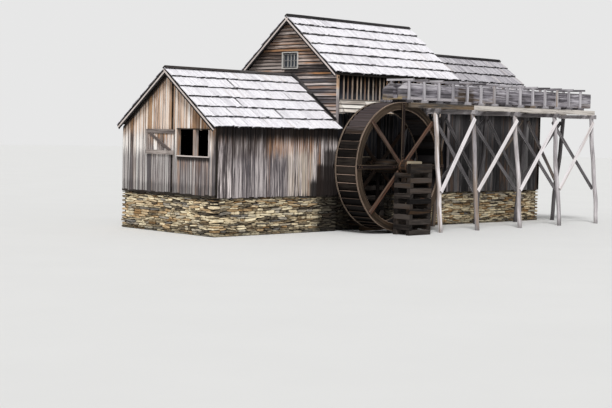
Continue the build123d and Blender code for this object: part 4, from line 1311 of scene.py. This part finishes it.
# %% [markdown]
# ## Ridges and barge boards
#
# Two dark boards are nailed along each ridge, one lapping the other. Barge boards hang under
# the open ends of the roofs and hide the ends of the sheathing. Where the shed's roof meets
# the mill house, two more boards close the joint.

# %% Ridge boards
rng = seeded(27)
ridge_wide, ridge_thick = 0.11, 0.026
ridge_h = 0.006 + ridge_thick / 2
both_sides = ((-1, "_front"), (1, "_back"))
parts = []
for roof_name, pitch in (("shed_roof", shed_pitch), ("mill_roof", house_pitch), ("wing_roof", house_pitch)):
    for side, ending in both_sides:
        slope = Slope(roof_name + ending, pitch, side)
        joints = board_edges([slope.x0, slope.x1], 2.7, rng)
        ridge_s = ridge_wide / 2 - (0.02 if side < 0 else 0.0)
        start, end = (slope.at(x, ridge_s, ridge_h) for x in (joints[:-1], joints[1:]))
        parts.append(timbers(start, end, slope.down, ridge_wide, ridge_thick, rng, bow=0.004,
                             wind=0.02, rough=0.0015))
piece("ridge_planks", parts, [ridge_wood], ["ridge_caps"])

# %% Barge boards
rng = seeded(28)
barge_thick, edge_deep, strip_deep, apron_deep = 0.03, 0.05, 0.06, 0.05
# painted shade: the dark edge board and the dark apron below the light strip stand for the shade lines
# above and below it
layers = (
    (bed_height - 0.012, edge_deep, barge_thick, 0.02), (-roof_depth, strip_deep, barge_thick, 0.85),
    (-roof_depth - strip_deep, apron_deep, barge_thick * 0.7, 0.0),
)
parts = []
for roof_name, pitch, left_end in (("shed_roof", shed_pitch, True), ("mill_roof", house_pitch, True),
                                   ("mill_roof", house_pitch, False), ("wing_roof", house_pitch, False)):
    for side, ending in both_sides:
        slope = Slope(roof_name + ending, pitch, side)
        barge_x = slope.x0 + barge_thick / 2 if left_end else slope.x1 - barge_thick / 2
        for top_h, deep, thick, shade in layers:
            start, end = (slope.at([barge_x], s, top_h - deep / 2) for s in (0.0, slope.length))
            parts.append(timbers(start, end, slope.normal, deep, thick, rng, stations=7, bow=0.003,
                                 rough=0.0015, skew=(tan(pitch), 0.0), tone=shade, warm=0.2,
                                 finish=int(shade < 0.5)))
piece("barge_planks", parts, [trim_wood, ridge_wood], ["barge_boards"])

# %% Joint boards
tall, thick = 0.09, 0.025
gap_wide = house_low[0] - corners("shed_roof_front")[1][0]
parts = []
for (side, ending), wall_y in zip(both_sides, (house_low[1], house_high[1])):
    slope = Slope("shed_roof" + ending, shed_pitch, side)
    s = board_edges([0.0, abs(wall_y - slope.ridge[1]) / cos(shed_pitch)], 1.6, rng)
    plumb = np.full(len(s) - 1, tan(shed_pitch))
    for x, h, across, wide, cut in (
        (house_low[0] - thick / 2, tall / 2, slope.normal, tall, (plumb, plumb)),
        (house_low[0] - gap_wide / 2, -thick / 2, slope.across, gap_wide, (0.0, 0.0)),
    ):
        parts.append(timbers(slope.at(x, s[:-1], h), slope.at(x, s[1:], h), across, wide,
                             thick, rng, rough=0.0015, bow=0.003, skew=cut))
piece("joint_planks", parts, [ridge_wood], ["roof_joint_boards"])

# %% [markdown]
# ## Dry-laid stone
#
# The base is flat fieldstone laid without mortar. A stone is a superellipsoid: its ring has
# the outline of a rounded rectangle, and the ring shrinks towards both ends of the stone. The
# stones face a dark packed core, and at the corners they alternate like a zip so that the two
# faces are bonded.


# %% Stones
def stones(centre, direction, length, height, depth, rng, corners_round=8, stations=5):
    """Rounded stones: ring point = superellipse(angle), shrunk by superellipse(station)."""
    count = len(centre)
    angle = np.linspace(0, 2 * np.pi, corners_round, endpoint=False) + np.pi / corners_round
    ring_a, ring_b = (np.sign(wave) * abs(wave) ** 0.24 for wave in (np.cos(angle), np.sin(angle)))
    s = 0.98 * np.sin(np.linspace(-np.pi / 2, np.pi / 2, stations))
    shrink = (1 - abs(s) ** 8) ** 0.3
    jitter = 1 + rng.normal(0, 0.1, (count, stations, corners_round))
    a = ring_a * shrink[:, None] * jitter * (height / 2)[:, None, None]
    b = ring_b * (0.75 + 0.25 * shrink[:, None]) * jitter * depth / 2
    slant = rng.normal(0, 0.06, (count, 1, 1))
    run = (s * length[:, None] / 2)[..., None]
    line = centre[:, None] + direction * run
    points = line[:, :, None] + up * (a + slant * run)[..., None] + np.cross(direction, up) * b[..., None]
    return shell(points, rng)


def stone_face(corner, direction, outward, length, phase, rng):
    """Courses of stones over one face of the base, with every other course set back at its ends."""
    stone_depth, mean_height, mean_length = 0.24, 0.062, 0.35
    lines = board_edges([0.0, base_top], mean_height, rng, 0.5)
    rows = []
    for course, (low, high) in enumerate(zip(lines, lines[1:])):
        inset = stone_depth * 0.9 if (course + phase) % 2 else 0.0
        joints = board_edges([inset, length - inset], mean_length, rng, 0.6)
        rows.extend((a, b, low, high) for a, b in zip(joints, joints[1:]))
    near, far, low, high = np.array(rows).T
    push = rng.uniform(-0.008, 0.012, len(near))
    centre = corner + np.outer((near + far) / 2, direction) + np.outer((low + high) / 2, up)
    centre = centre + np.outer(push - stone_depth / 2, outward)
    return stones(centre, direction, far - near - 0.016, high - low - 0.01, stone_depth, rng)


# %% Stone bases
rng = seeded(31)
stone_back = 0.07
core_top = base_top - 0.012


def stone_base(name, node, cross_walls, right_face):
    """Faces of stones round a base, and one block of packed earth inside each of its walls."""
    (x0, y0, _), (x1, y1, _) = corners(node)
    faces = [(x0, y0, right, -back, x1 - x0, 0), (x0, y1, right, back, x1 - x0, 0),
             (x0, y0, back, -right, y1 - y0, 1)]
    if right_face:
        faces.append((x1, y0, back, right, y1 - y0, 1))
    parts = [stone_face(np.array([x, y, 0.0]), *rest, rng) for x, y, *rest in faces]
    x_end = x1 - stone_back * right_face
    blocks = [(x0 + stone_back, x_end, y0 + stone_back, y0 + base_depth),
              (x0 + stone_back, x_end, y1 - base_depth, y1 - stone_back)]
    blocks += [(*cross_wall, y0 + base_depth, y1 - base_depth) for cross_wall in cross_walls]
    for near_x, far_x, near_y, far_y in blocks:
        foot = at((near_x + far_x) / 2, (near_y + far_y) / 2, 0.0)
        parts.append(timbers(foot, foot + up * core_top, right, far_x - near_x, far_y - near_y, rng,
                             arris=0.02, finish=1))
    piece(name, parts, [rubble, core], [node])


shed_base_x = corners("shed_foundation")[0][0]
stone_base("shed_rubble", "shed_foundation", [(shed_base_x + stone_back, shed_base_x + base_depth)], False)
stone_base("house_rubble", "mill_foundation", [
    (base_low[0] + stone_back, base_low[0] + base_depth), (house_far - base_depth, house_far),
    (base_high[0] - base_depth, base_high[0] - stone_back),
], True)

# %% [markdown]
# ## Floors and hood
#
# The floors show only through the open window, so they are plain planks. Behind the wheel a
# narrow hood of lapped boards keeps water off the wall.

# %% Floors
rng = seeded(32)
deck_thick = 0.05
deck_top = base_top + deck_thick
parts = []
for (x0, y0), (x1, y1), top in ((shed_low[:2], (house_low[0] + wall_depth, shed_high[1]), deck_top),
                                (house_low[:2], (house_far, house_high[1]), deck_top),
                                (house_low[:2], (house_far, house_high[1]), corners("floors")[1][2])):
    plank_edges = board_edges([y0 + wall_depth, y1 - wall_depth], 0.24, rng)
    start, end = (at(x, centres(plank_edges), top - deck_thick / 2)
                  for x in (x0 + wall_depth, x1 - wall_depth))
    parts.append(timbers(start, end, back, np.diff(plank_edges) - 0.003, deck_thick, rng, rough=0.001))
piece("floor_deck", parts, [shaded_inner_wood], ["floors"])

# %% Hood
rng = seeded(33)
low, high = corners("wheel_hood")
fall = np.array([0.0, low[1] - high[1], -0.43])
length = np.linalg.norm(fall)
down = fall / length
normal = np.cross(down, right)
peak = np.array([0.0, high[1], high[2]])
courses = 3
reveal = length / courses
rows = [(course, a, b) for course in range(courses)
        for joints in [board_edges([low[0], high[0]], 1.3, rng)]
        for a, b in zip(joints, joints[1:])]
course, near, far = np.array(rows).T
line = peak + np.outer((course + 0.5) * reveal, down) - normal * 0.012
parts = [
    timbers(line + np.outer(near, right), line + np.outer(far, right), down + normal * 0.09,
            reveal + 0.03, 0.022, rng, bow=0.003, wind=0.02, rough=0.0015),
]
bracket_thick = 0.03
bracket_boards = board_edges([0.0, -fall[1] * 0.98], 0.14, rng)
bracket_table = upright_table(bracket_boards, high[2] + fall[2] - 0.05,
                              lambda t: high[2] - 0.06 + t / fall[1] * -fall[2] * 0.98)
for bracket_x in (low[0] + bracket_thick / 2, high[0] - bracket_thick / 2):
    parts.append(upright_boards(bracket_table, at(bracket_x, high[1], 0.0), -back, right, bracket_thick,
                                rng, inset=-bracket_thick / 2, gap=0.003, ragged=0.0))
hood_wood = weathered(
    "hood_boards", (0.4, 0.35, 0.31), (0.86, 0.79, 0.72), (0.98, 0.93, 0.86), (0.5, 0.34, 0.2),
    warmth=0.6, contrast=0.34, edge=(0.06, 0.05, 0.045), wear=0.8,
    lap_shade=(high[2] + fall[2], -fall[2] / courses),
)
piece("hood_planks", parts, [hood_wood], ["wheel_hood"])

# %% [markdown]
# ## The water wheel
#
# The wheel is an overshot one: water drops into buckets between two rims. Each rim is two
# layers of curved planks with staggered joints, bolted together. Round the inside runs a sole
# of staves, and from it each bucket has a riser and a sloping lip. All of them are profiles
# carried along a line or an arc about the shaft.

# %% Wheel sizes
rim_low, rim_high = corners("wheel_rim_front")
wheel_radius = (rim_high[0] - rim_low[0]) / 2
axis = up * shaft_z
inner_radius = wheel_radius - 0.245
rim_thick = rim_high[1] - rim_low[1]
front_y, rear_y = rim_low[1], corners("wheel_rim_rear")[1][1]
rim_pieces = 8
bucket_count = 48
outer_faces = (0, 1, 7)
print("wheel", round(2 * wheel_radius, 3), "m across,", bucket_count, "buckets")


def round_angles(count):
    """Angles of a number of places evenly round the shaft."""
    return np.linspace(0, 2 * np.pi, count, endpoint=False)


def spoke(angle):
    """Unit vectors that point outwards from the shaft at the given angles."""
    return at(np.cos(angle), 0.0, np.sin(angle))


def rim_planks(first_angle, y0, y1, rng, gap=0.003, steps=9):
    """Curved planks: a rectangle with its arrises off, carried along an arc about the shaft."""
    sweep = 2 * np.pi / rim_pieces
    start = first_angle + np.arange(rim_pieces) * sweep
    trim = gap / wheel_radius
    angle = start[:, None] + np.linspace(trim, sweep - trim, steps)
    half_r, half_y, arris = (wheel_radius - inner_radius) / 2, (y1 - y0) / 2, 0.008
    a = (inner_radius + wheel_radius) / 2 + half_r * corner_a - arris * arris_a
    b = (y0 + y1) / 2 + half_y * corner_b - arris * arris_b
    wobble = rng.normal(0, 0.0008, (rim_pieces, steps, len(a)))
    points = axis + spoke(angle)[:, :, None] * (a + wobble)[..., None] + back * b[..., None]
    return shell(points, rng, edges=worn_faces)


def bolts(angles, radii, y, outward, radius, height, rng, sides=6):
    """Domed bolt heads at every angle and radius: a ring that shrinks as it rises."""
    angles, radii = (grid.ravel() for grid in np.meshgrid(angles, radii, indexing="ij"))
    centre = axis + spoke(angles) * radii[:, None] + back * y
    outward = np.broadcast_to(outward, centre.shape)
    first = unit(np.cross(outward, np.array([0.31, 0.17, 0.93])))
    second = np.cross(outward, first)
    angle = round_angles(sides) + rng.uniform(0, 1, (len(centre), 1))
    rise, shrink = np.array([0.0, 0.7, 1.0]), np.array([1.0, 0.9, 0.45])
    ring = first[:, None] * np.cos(angle)[..., None] + second[:, None] * np.sin(angle)[..., None]
    points = centre[:, None, None] + ring[:, None] * (radius * shrink)[None, :, None, None]
    points = points + outward[:, None, None] * (height * rise)[None, :, None, None]
    return shell(points, rng, finish=1)


# %% Rims
for side, y_outer, outward, wood, seed in (("front", front_y, -back, rim_wood, 41),
                                           ("rear", rear_y, back, shaded_rear_rim_wood, 42)):
    rng = seeded(seed)
    y_mid, y_inner = y_outer - outward[1] * rim_thick / 2, y_outer - outward[1] * rim_thick
    joints = round_angles(rim_pieces)[:, None] + np.array([-0.04, 0.04])
    parts = [
        rim_planks(0.0, min(y_outer, y_mid), max(y_outer, y_mid), rng),
        rim_planks(np.pi / rim_pieces, min(y_inner, y_mid), max(y_inner, y_mid), rng),
        bolts(joints, [inner_radius + 0.06, wheel_radius - 0.06], y_outer, outward, 0.016, 0.008, rng),
    ]
    piece(f"{side}_rim_planks", parts, [wood, rusty_iron], [f"wheel_rim_{side}"],
          body="wheel")

# %% Sole, risers and lips
rng = seeded(43)
sole_thick, bucket_board, riser_height = 0.03, 0.025, 0.105
lip_sweep = radians(8)
joint = 0.0003


def across_drum(radial_start, radial_end, angle_start, angle_end, thick, **look):
    """Boards that run from rim to rim, their width from one point of the wheel to another."""
    low = axis + spoke(angle_start) * radial_start
    high = axis + spoke(angle_end) * radial_end
    middle = (low + high) / 2
    start = middle + back * (front_y + rim_thick + 0.001)
    end = middle + back * (rear_y - rim_thick - 0.001)
    return timbers(start, end, high - low, np.linalg.norm(high - low, axis=1), thick, rng,
                   rough=0.0008, **look)


bucket_angles = round_angles(bucket_count)
stave_half = np.pi / bucket_count
stave_radius = (inner_radius + sole_thick / 2) / cos(stave_half) - 0.001
riser_root = inner_radius + sole_thick + joint
riser_tip = riser_root + riser_height
lip_root = riser_tip + bucket_board / 2 + joint
lip_tip = sqrt((wheel_radius - joint) ** 2 - (bucket_board / 2) ** 2) - bucket_board
sole = across_drum(stave_radius, stave_radius, bucket_angles - stave_half + 0.0008,
                   bucket_angles + stave_half - 0.0008, sole_thick)
piece("sole_staves", [sole], [wheel_wood], ["wheel_sole"], body="wheel")
risers = across_drum(riser_root, riser_tip, bucket_angles, bucket_angles, bucket_board)
piece("riser_planks", [risers], [wheel_wood], ["bucket_risers"], body="wheel")
lips = across_drum(lip_root, lip_tip, bucket_angles, bucket_angles - lip_sweep, bucket_board,
                   edges=outer_faces)
piece("lip_planks", [lips], [lip_wood], ["bucket_lips"], body="wheel")

# %% Arms
rng = seeded(44)
arm_count, arm_wide, arm_thick = 8, 0.13, 0.06
arm_root, arm_tip = 0.22, wheel_radius - 0.025
arm_angles = round_angles(arm_count)
arm_line = spoke(arm_angles)
arm_bolts = [arm_root + 0.08, arm_root + 0.2, inner_radius + 0.05, inner_radius + 0.17]
dried = np.arange(arm_count) % 2
parts = []
for rim_y, outward, finish in ((front_y, -back, 0), (rear_y, back, 2)):
    arm_y = rim_y + outward[1] * arm_thick / 2
    parts += [
        timbers(axis + arm_line * arm_root + back * arm_y, axis + arm_line * arm_tip + back * arm_y,
                np.cross(arm_line, back), arm_wide, arm_thick, rng, stations=9, arris=0.008,
                rough=0.0015, finish=finish, tone=0.3 + 0.45 * dried, warm=0.2 + 0.75 * dried),
        bolts(arm_angles, arm_bolts, arm_y + outward[1] * arm_thick / 2, outward, 0.02, 0.01, rng),
    ]
piece("arm_timbers", parts, [arm_wood, rusty_iron, shaded_rear_arm_wood], ["wheel_arms"],
      body="wheel")

# %% [markdown]
# The shaft is an eight-sided log with a round journal turned on it for the rear bearing and an
# iron gudgeon at the front. Its surface is one function: the angle and the place along the
# shaft give a radius, which is the octagon's or the circle's.

# %% Shaft
rng = seeded(45)
shaft_low, shaft_high = corners("wheel_shaft")
flats_radius, journal_radius, gudgeon_radius = 0.22, 0.15, 0.05
crib_rear_y, shaft_front_y = -0.53, -2.48
journal_half, step = 0.14, 0.002


def octagon(angle):
    """Distance from the shaft's middle to its eight flat sides."""
    return flats_radius / np.cos((angle + np.pi / 8) % (np.pi / 4) - np.pi / 8)


def lathe(radius, y, closed=False, **look):
    """A surface about the shaft: a radius for each place y, and for each angle if it is a table."""
    angle = round_angles(radius.shape[1])
    points = axis + spoke(angle) * radius[..., None] + back * np.asarray(y)[:, None, None]
    return shell(points[None, :, ::-1], rng, closed=closed, **look)


shaft_angle = round_angles(48)
journal_y, journal_end = crib_rear_y - journal_half, crib_rear_y + journal_half
shaft_ys = [shaft_front_y, shaft_front_y + 0.02, -2.1, -1.6, -1.1, journal_y, journal_y + step,
            journal_end - step, journal_end, shaft_high[1]]
shaft_radius = np.tile(octagon(shaft_angle), (len(shaft_ys), 1))
shaft_radius[0] *= 0.95
shaft_radius[6:8] = journal_radius
gudgeon_ys = [shaft_low[1], shaft_low[1] + 0.006, shaft_front_y + 0.01]
gudgeon_size = np.repeat([[0.85], [1.0], [1.0]], 16, axis=1) * gudgeon_radius
parts = [lathe(shaft_radius, shaft_ys, tone=0.5, warm=0.9),
         lathe(gudgeon_size, gudgeon_ys, smooth=True, finish=1)]
piece("shaft_log", parts, [crib_wood, rusty_iron], ["wheel_shaft"], body="wheel")

# %% Bands
band_wide, band_thick = 0.06, 0.012


def collar(angle, outer, inner, y0, y1, rng, **look):
    """A ring round the shaft: at each angle its section is outer, inner, inner, outer."""
    radii = np.stack(np.broadcast_arrays(outer, inner, inner, outer, angle)[:4], axis=1)
    ys = np.array([y0, y0, y1, y1])
    points = axis + spoke(angle)[:, None] * radii[..., None] + back * ys[None, :, None]
    return shell(points[None, :, ::-1], rng, closed=True, **look)


band_angle = round_angles(64)
band_outer = flats_radius / cos(np.pi / 8) + band_thick
parts = [collar(band_angle, band_outer, octagon(band_angle) + 0.001, y, y + band_wide, rng) for y in
         (shaft_front_y, front_y - arm_thick - 2 * band_wide, rear_y + arm_thick + band_wide)]
piece("iron_bands", parts, [rusty_iron], ["shaft_bands"], body="wheel")

# %% [markdown]
# ## Cribs and bearings
#
# Two cribs of stacked timber carry the shaft. Their timbers are hewn, so they have big arrises
# and rough faces, and each runs a little short or long. The bearing blocks are bored: seen
# square on, the surface runs from the block's edge into the bore and out again, and is carried
# round by the angle.

# %% Cribs
rng = seeded(51)
crib_half, crib_timber, crib_layers = 0.53, 0.15, 11
crib_spans = ((-2.94, -2.23), (-0.835, base_low[1]))
block_bottom = corners("bearing_blocks")[0][2]
block_half, block_deep = 0.28, 0.16
bed_front = shaft_front_y - 0.06 - block_deep / 2
layer = block_bottom / crib_layers
curb_low, curb_tall = block_bottom + 0.155, 0.307
half = crib_timber / 2
crib_front, crib_front_far = crib_spans[0]
crib_xs = (-crib_half + half, crib_half - half)
cross_rows = [(y, (level + 0.5) * layer, crib_timber, layer) for near, far in crib_spans
              for level in range(0, crib_layers, 2) for y in (near + half, far - half)]
cross_rows += [(y, block_bottom - layer / 2, block_deep, layer) for y in (bed_front, crib_rear_y)]
cross_rows.append((crib_front + half, curb_low + curb_tall / 2, crib_timber, curb_tall))
side_rows = [(x, (level + 0.5) * layer, near, far, layer) for near, far in crib_spans
             for level in range(1, crib_layers, 2) for x in crib_xs]
side_rows += [(x, (block_bottom + curb_low) / 2, crib_front, crib_front_far, curb_low - block_bottom)
              for x in crib_xs]
hewn = {"stations": 6, "arris": 0.014, "rough": 0.003}
y, z, deep, tall = np.array(cross_rows).T
crib_cross = timbers(at(-crib_half, y, z), at(crib_half, y, z), back, deep - 0.006, tall - 0.004, rng,
                     **hewn)
piece("crib_cross_beams", [crib_cross], [crib_wood], ["crib_cross_timbers"])
x, z, near, far, tall = np.array(side_rows).T
crib_side = timbers(at(x, near, z), at(x, far, z), right, crib_timber - 0.006, tall - 0.004, rng, **hewn)
piece("crib_side_beams", [crib_side], [crib_wood], ["crib_side_timbers"])


# %% Bearing blocks
def bored_block(y, journal, **look):
    """A block round a bore, a little wider than the journal that turns in it."""
    angle = round_angles(64) + np.pi / 64
    cosine, sine = np.cos(angle), np.sin(angle)
    over, below = journal + 0.15, shaft_z - block_bottom
    reach = np.minimum(block_half / abs(cosine), np.where(sine > 0, over, below) / abs(sine))
    return collar(angle, reach, journal + 0.001, y - block_deep / 2, y + block_deep / 2, rng, **look)


bearing_wood = weathered(
    "bearing_timber", (0.008, 0.007, 0.006), (0.03, 0.024, 0.02), (0.09, 0.075, 0.062), shine=0.12,
    patches=(((-0.6, 0.6, 2.31, 2.6), 0.03, (0.5, 0.42, 0.3), 0.85, 0.3),),
)
parts = [bored_block(bed_front, gudgeon_radius), bored_block(crib_rear_y, journal_radius, finish=1)]
piece("bearing_pillows", parts, [bearing_wood, crib_wood], ["bearing_blocks"])

# %% [markdown]
# ## The flume
#
# The flume is an open box of planks. Sleepers carry it, and frames of two uprights and a tie
# hold its sides. The planks are butted end to end at the frames, and each upright, tie and
# rail is its own stick, a little out of line with its neighbours.

# %% Trough
rng = seeded(61)
low, high = corners("flume_trough")
plank = 0.04
frame_pitch, frame_count = 0.76, 14
frame_xs = low[0] + np.arange(frame_count) * frame_pitch
side_lines = low[2] + np.array([0.0, 0.17, 0.35, 0.5])
joint_xs = np.append(frame_xs[::3], high[0])


def two_lines(low, high, wide):
    """Depths of the middle lines of a pair of pieces at the front and the back of a box."""
    return low[1] + wide / 2, high[1] - wide / 2


def cells(lines, joints):
    """Every strip between two lines, parted at the joints: low, high, start, end."""
    return np.array([(low, high, a, b) for low, high in zip(lines, lines[1:])
                     for a, b in zip(joints, joints[1:])]).T


z0, z1, x0, x1 = cells(side_lines, joint_xs)
level = (z0 + z1) / 2
parts = [
    timbers(at(x0 + 0.002, y, level), at(x1 - 0.002, y, level), up, z1 - z0 - 0.007, plank - 0.004,
            rng, stations=8, bow=0.004, wind=0.02, rough=0.0015)
    for y in two_lines(low, high, plank)
]
floor_ys = board_edges([low[1] + plank, high[1] - plank], 0.21, rng)
floor_z = low[2] + plank / 2
y0, y1, x0, x1 = cells(floor_ys, joint_xs)
parts.append(timbers(at(x0, (y0 + y1) / 2, floor_z), at(x1, (y0 + y1) / 2, floor_z), back,
                     y1 - y0 - 0.001, plank, rng, rough=0.001))
piece("trough_planks", parts, [flume_wood], ["flume_trough"])

# %% Spout
low, high = corners("flume_spout")
nose_run, nose_height = 0.25, 0.35
nose_slope = nose_run / (side_lines[-1] - side_lines[0] - nose_height)
parts = []
for side_y in two_lines(low, high, plank):
    for low_z, high_z, wet in zip(side_lines, side_lines[1:], (0.95, 0.45, 0.1)):
        level = (low_z + high_z) / 2
        nose = max(level - side_lines[0] - nose_height, 0.0) * nose_slope
        parts.append(timbers(
            at(low[0] + nose, side_y, level), at(high[0] - 0.002, side_y, level), up,
            high_z - low_z - 0.006, plank - 0.004, rng, stations=5, rough=0.0015,
            skew=(nose_slope if nose else 0.0, 0.0), warm=wet))
spout_look = {"rough": 0.001, "tone": 0.3, "warm": 0.5}
floor_mid = centres(floor_ys)
parts.append(timbers(at(low[0], floor_mid, floor_z), at(high[0], floor_mid, floor_z), back,
                     np.diff(floor_ys) - 0.002, plank, rng, **spout_look))
apron_edges = board_edges([-1.78, -1.43], 0.12, rng)
apron_x, apron_mid = low[0] + 0.0125, centres(apron_edges)
parts.append(timbers(at(apron_x, apron_mid, low[2]), at(apron_x, apron_mid, side_lines[0]), back,
                     np.diff(apron_edges) - 0.004, 0.023, rng, **spout_look))
piece("spout_planks", parts, [spout_wood], ["flume_spout"])

# %% Frames of the flume
upright_wide, upright_deep = 0.085, 0.08


def cross_beams(name, node, wide, arris, rough):
    """One level beam across the flume at every frame."""
    low, high = corners(node)
    start = at(frame_xs, low[1], (low[2] + high[2]) / 2)
    beams = timbers(start, start + back * (high[1] - low[1]), right, wide, high[2] - low[2], rng,
                    arris=arris, rough=rough)
    piece(name, [beams], [frame_wood], [node])


cross_beams("sleeper_beams", "flume_sleepers", 0.09, 0.007, 0.002)

low, high = corners("flume_uprights")
parts = []
for side_y in two_lines(low, high, upright_deep):
    foot = at(frame_xs, side_y, low[2])
    head = at(frame_xs + rng.normal(0, 0.006, frame_count), side_y, high[2])
    parts.append(timbers(foot, head, right, upright_wide, upright_deep - 0.004, rng, bow=0.002,
                         arris=0.006, rough=0.0018, tone=rng.uniform(0.6, 1.0, frame_count)))
piece("upright_posts", parts, [frame_wood], ["flume_uprights"])

cross_beams("tie_beams", "flume_ties", upright_wide, 0.006, 0.0018)


# %% Rails and stringers
def long_beams(name, node, joints, wide, slack, gaps, wood, **shape):
    """A pair of lines of beams along the flume, butted at the joints with small gaps."""
    low, high = corners(node)
    x0, x1, level = joints[:-1] + gaps[0], joints[1:] - gaps[1], (low[2] + high[2]) / 2
    parts = [timbers(at(x0, y, level), at(x1, y, level), up, high[2] - low[2] - slack[0], wide - slack[1],
                     rng, stations=8, **shape) for y in two_lines(low, high, wide)]
    piece(name, parts, [wood], [node])


rail_ends, stringer_low, stringer_high = corners("flume_rails"), *corners("flume_stringers")
stringer_wide = 0.12
bent_xs = np.array([1.5, 3.48, 5.91, 8.34, 10.77])
rail_joints = np.array([rail_ends[0][0], *frame_xs[2::4], rail_ends[1][0]])
long_beams("rail_poles", "flume_rails", rail_joints, 0.06, (0.002, 0.004), (0.006, 0.006), frame_wood,
           bow=0.004, arris=0.006, rough=0.002)
stringer_joints = np.array([stringer_low[0], bent_xs[1], bent_xs[3], stringer_high[0]])
long_beams("stringer_beams", "flume_stringers", stringer_joints, stringer_wide, (0.004, 0.0), (0.0, 0.004),
           stringer_wood, arris=0.012, rough=0.004)

# %% [markdown]
# ## The trestle
#
# The posts are logs with the bark off: round, knotty and not quite straight. A log is a ring
# whose radius wavers with the angle and the height, carried along a line that wanders between
# the foot and the cap. Sawn braces cross from post to post.


# %% Trestle posts
def logs(foot, head, radius, rng, wander, corners_round=12, stations=14, knots=0.06, **look):
    """Crooked poles: centre = straight line + slow waves, radius wavers by angle and height."""
    count = len(foot)
    s = np.linspace(0, 1, stations)
    side = unit(np.cross(unit(head - foot), back))
    front = np.cross(unit(head - foot), side)
    hold = wander * np.sin(np.pi * s) ** 0.7
    phase = rng.uniform(0, 2 * np.pi, (4, count, 1))
    sway = hold * (np.sin(2.2 * np.pi * s + phase[0]) + 0.5 * np.sin(5 * np.pi * s + phase[1]))
    lean = hold * (np.sin(1.8 * np.pi * s + phase[2]) + 0.5 * np.sin(4.3 * np.pi * s + phase[3]))
    line = foot[:, None] + (head - foot)[:, None] * s[:, None]
    line = line + side[:, None] * sway[..., None] + front[:, None] * lean[..., None]
    angle = round_angles(corners_round)
    flute = 0.05 * np.sin(3 * angle + rng.uniform(0, 6, (count, 1)))[:, None]
    size = radius * (1 + flute + rng.normal(0, knots / 2, (count, stations, corners_round)))
    points = line[:, :, None] + side[:, None, None] * (size * np.cos(angle))[..., None]
    points = points + front[:, None, None] * (size * np.sin(angle))[..., None]
    return shell(points, rng, smooth=True, **look)


rng = seeded(71)
post_size = 0.155
post_top = corners("trestle_posts")[1][2]
lean_angle = radians(5.2)
batter = tan(lean_angle)
front_head, rear_head = two_lines(stringer_low, stringer_high, stringer_wide)
post_x, head_y = np.repeat(bent_xs, 2), np.tile([front_head, rear_head], len(bent_xs))
is_front = head_y == front_head
foot_y = head_y + np.where(is_front, -1.0, 1.0) * post_top * batter
# painted light and shade: the first front post is lightest, the other front posts mid, and all rear posts
# dark
post_light_tone = np.where(is_front, np.repeat([0.95, 0.5, 0.6, 0.55, 0.6], 2), 0.25)
posts = logs(at(post_x, foot_y, 0.0), at(post_x, head_y, post_top), post_size / 2, rng, 0.026,
             tone=post_light_tone)
piece("post_logs", [posts], [trestle_wood], ["trestle_posts"])

# %% Caps and braces
low, high = corners("trestle_caps")
cap_far = np.where(bent_xs < wing_far, base_low[1], rear_head + stringer_wide / 2 + 0.12)
cap_z = (low[2] + high[2]) / 2
caps = timbers(at(bent_xs, low[1], cap_z), at(bent_xs, cap_far, cap_z), right, 0.15, high[2] - low[2],
               rng, stations=7, arris=0.012, rough=0.004)
piece("cap_beams", [caps], [trestle_wood], ["trestle_caps"])

brace_wide, brace_thick = 0.13, 0.045
low_z, high_z = 1.35, post_top - 0.16
parts = []
for head, side in ((front_head, -1), (rear_head, 1)):
    outward_lean = np.array([0.0, side * cos(lean_angle), sin(lean_angle)])
    low_y, high_y = (head + side * (post_top - z) * batter for z in (low_z, high_z))
    for rising in (True, False):
        shift = outward_lean * (post_size + brace_thick) / 2 * (1 if rising else -1)
        low_x, high_x = (bent_xs[:-1], bent_xs[1:]) if rising else (bent_xs[1:], bent_xs[:-1])
        start, end = at(low_x, low_y, low_z) + shift, at(high_x, high_y, high_z) + shift
        # painted light and shade: the front rising braces are light, and all other braces dark
        parts.append(timbers(start, end, np.cross(end - start, outward_lean), brace_wide, brace_thick,
                             rng, stations=7, bow=0.006, rough=0.002,
                             tone=0.85 if side < 0 and rising else 0.22))
piece("brace_boards", parts, [trestle_wood], ["trestle_braces"])

# %% [markdown]
# ## Measure and finish
#
# The triangles of all the new pieces are added up and printed.

# %% Finish
print("triangles in all:", sum(made.values()))
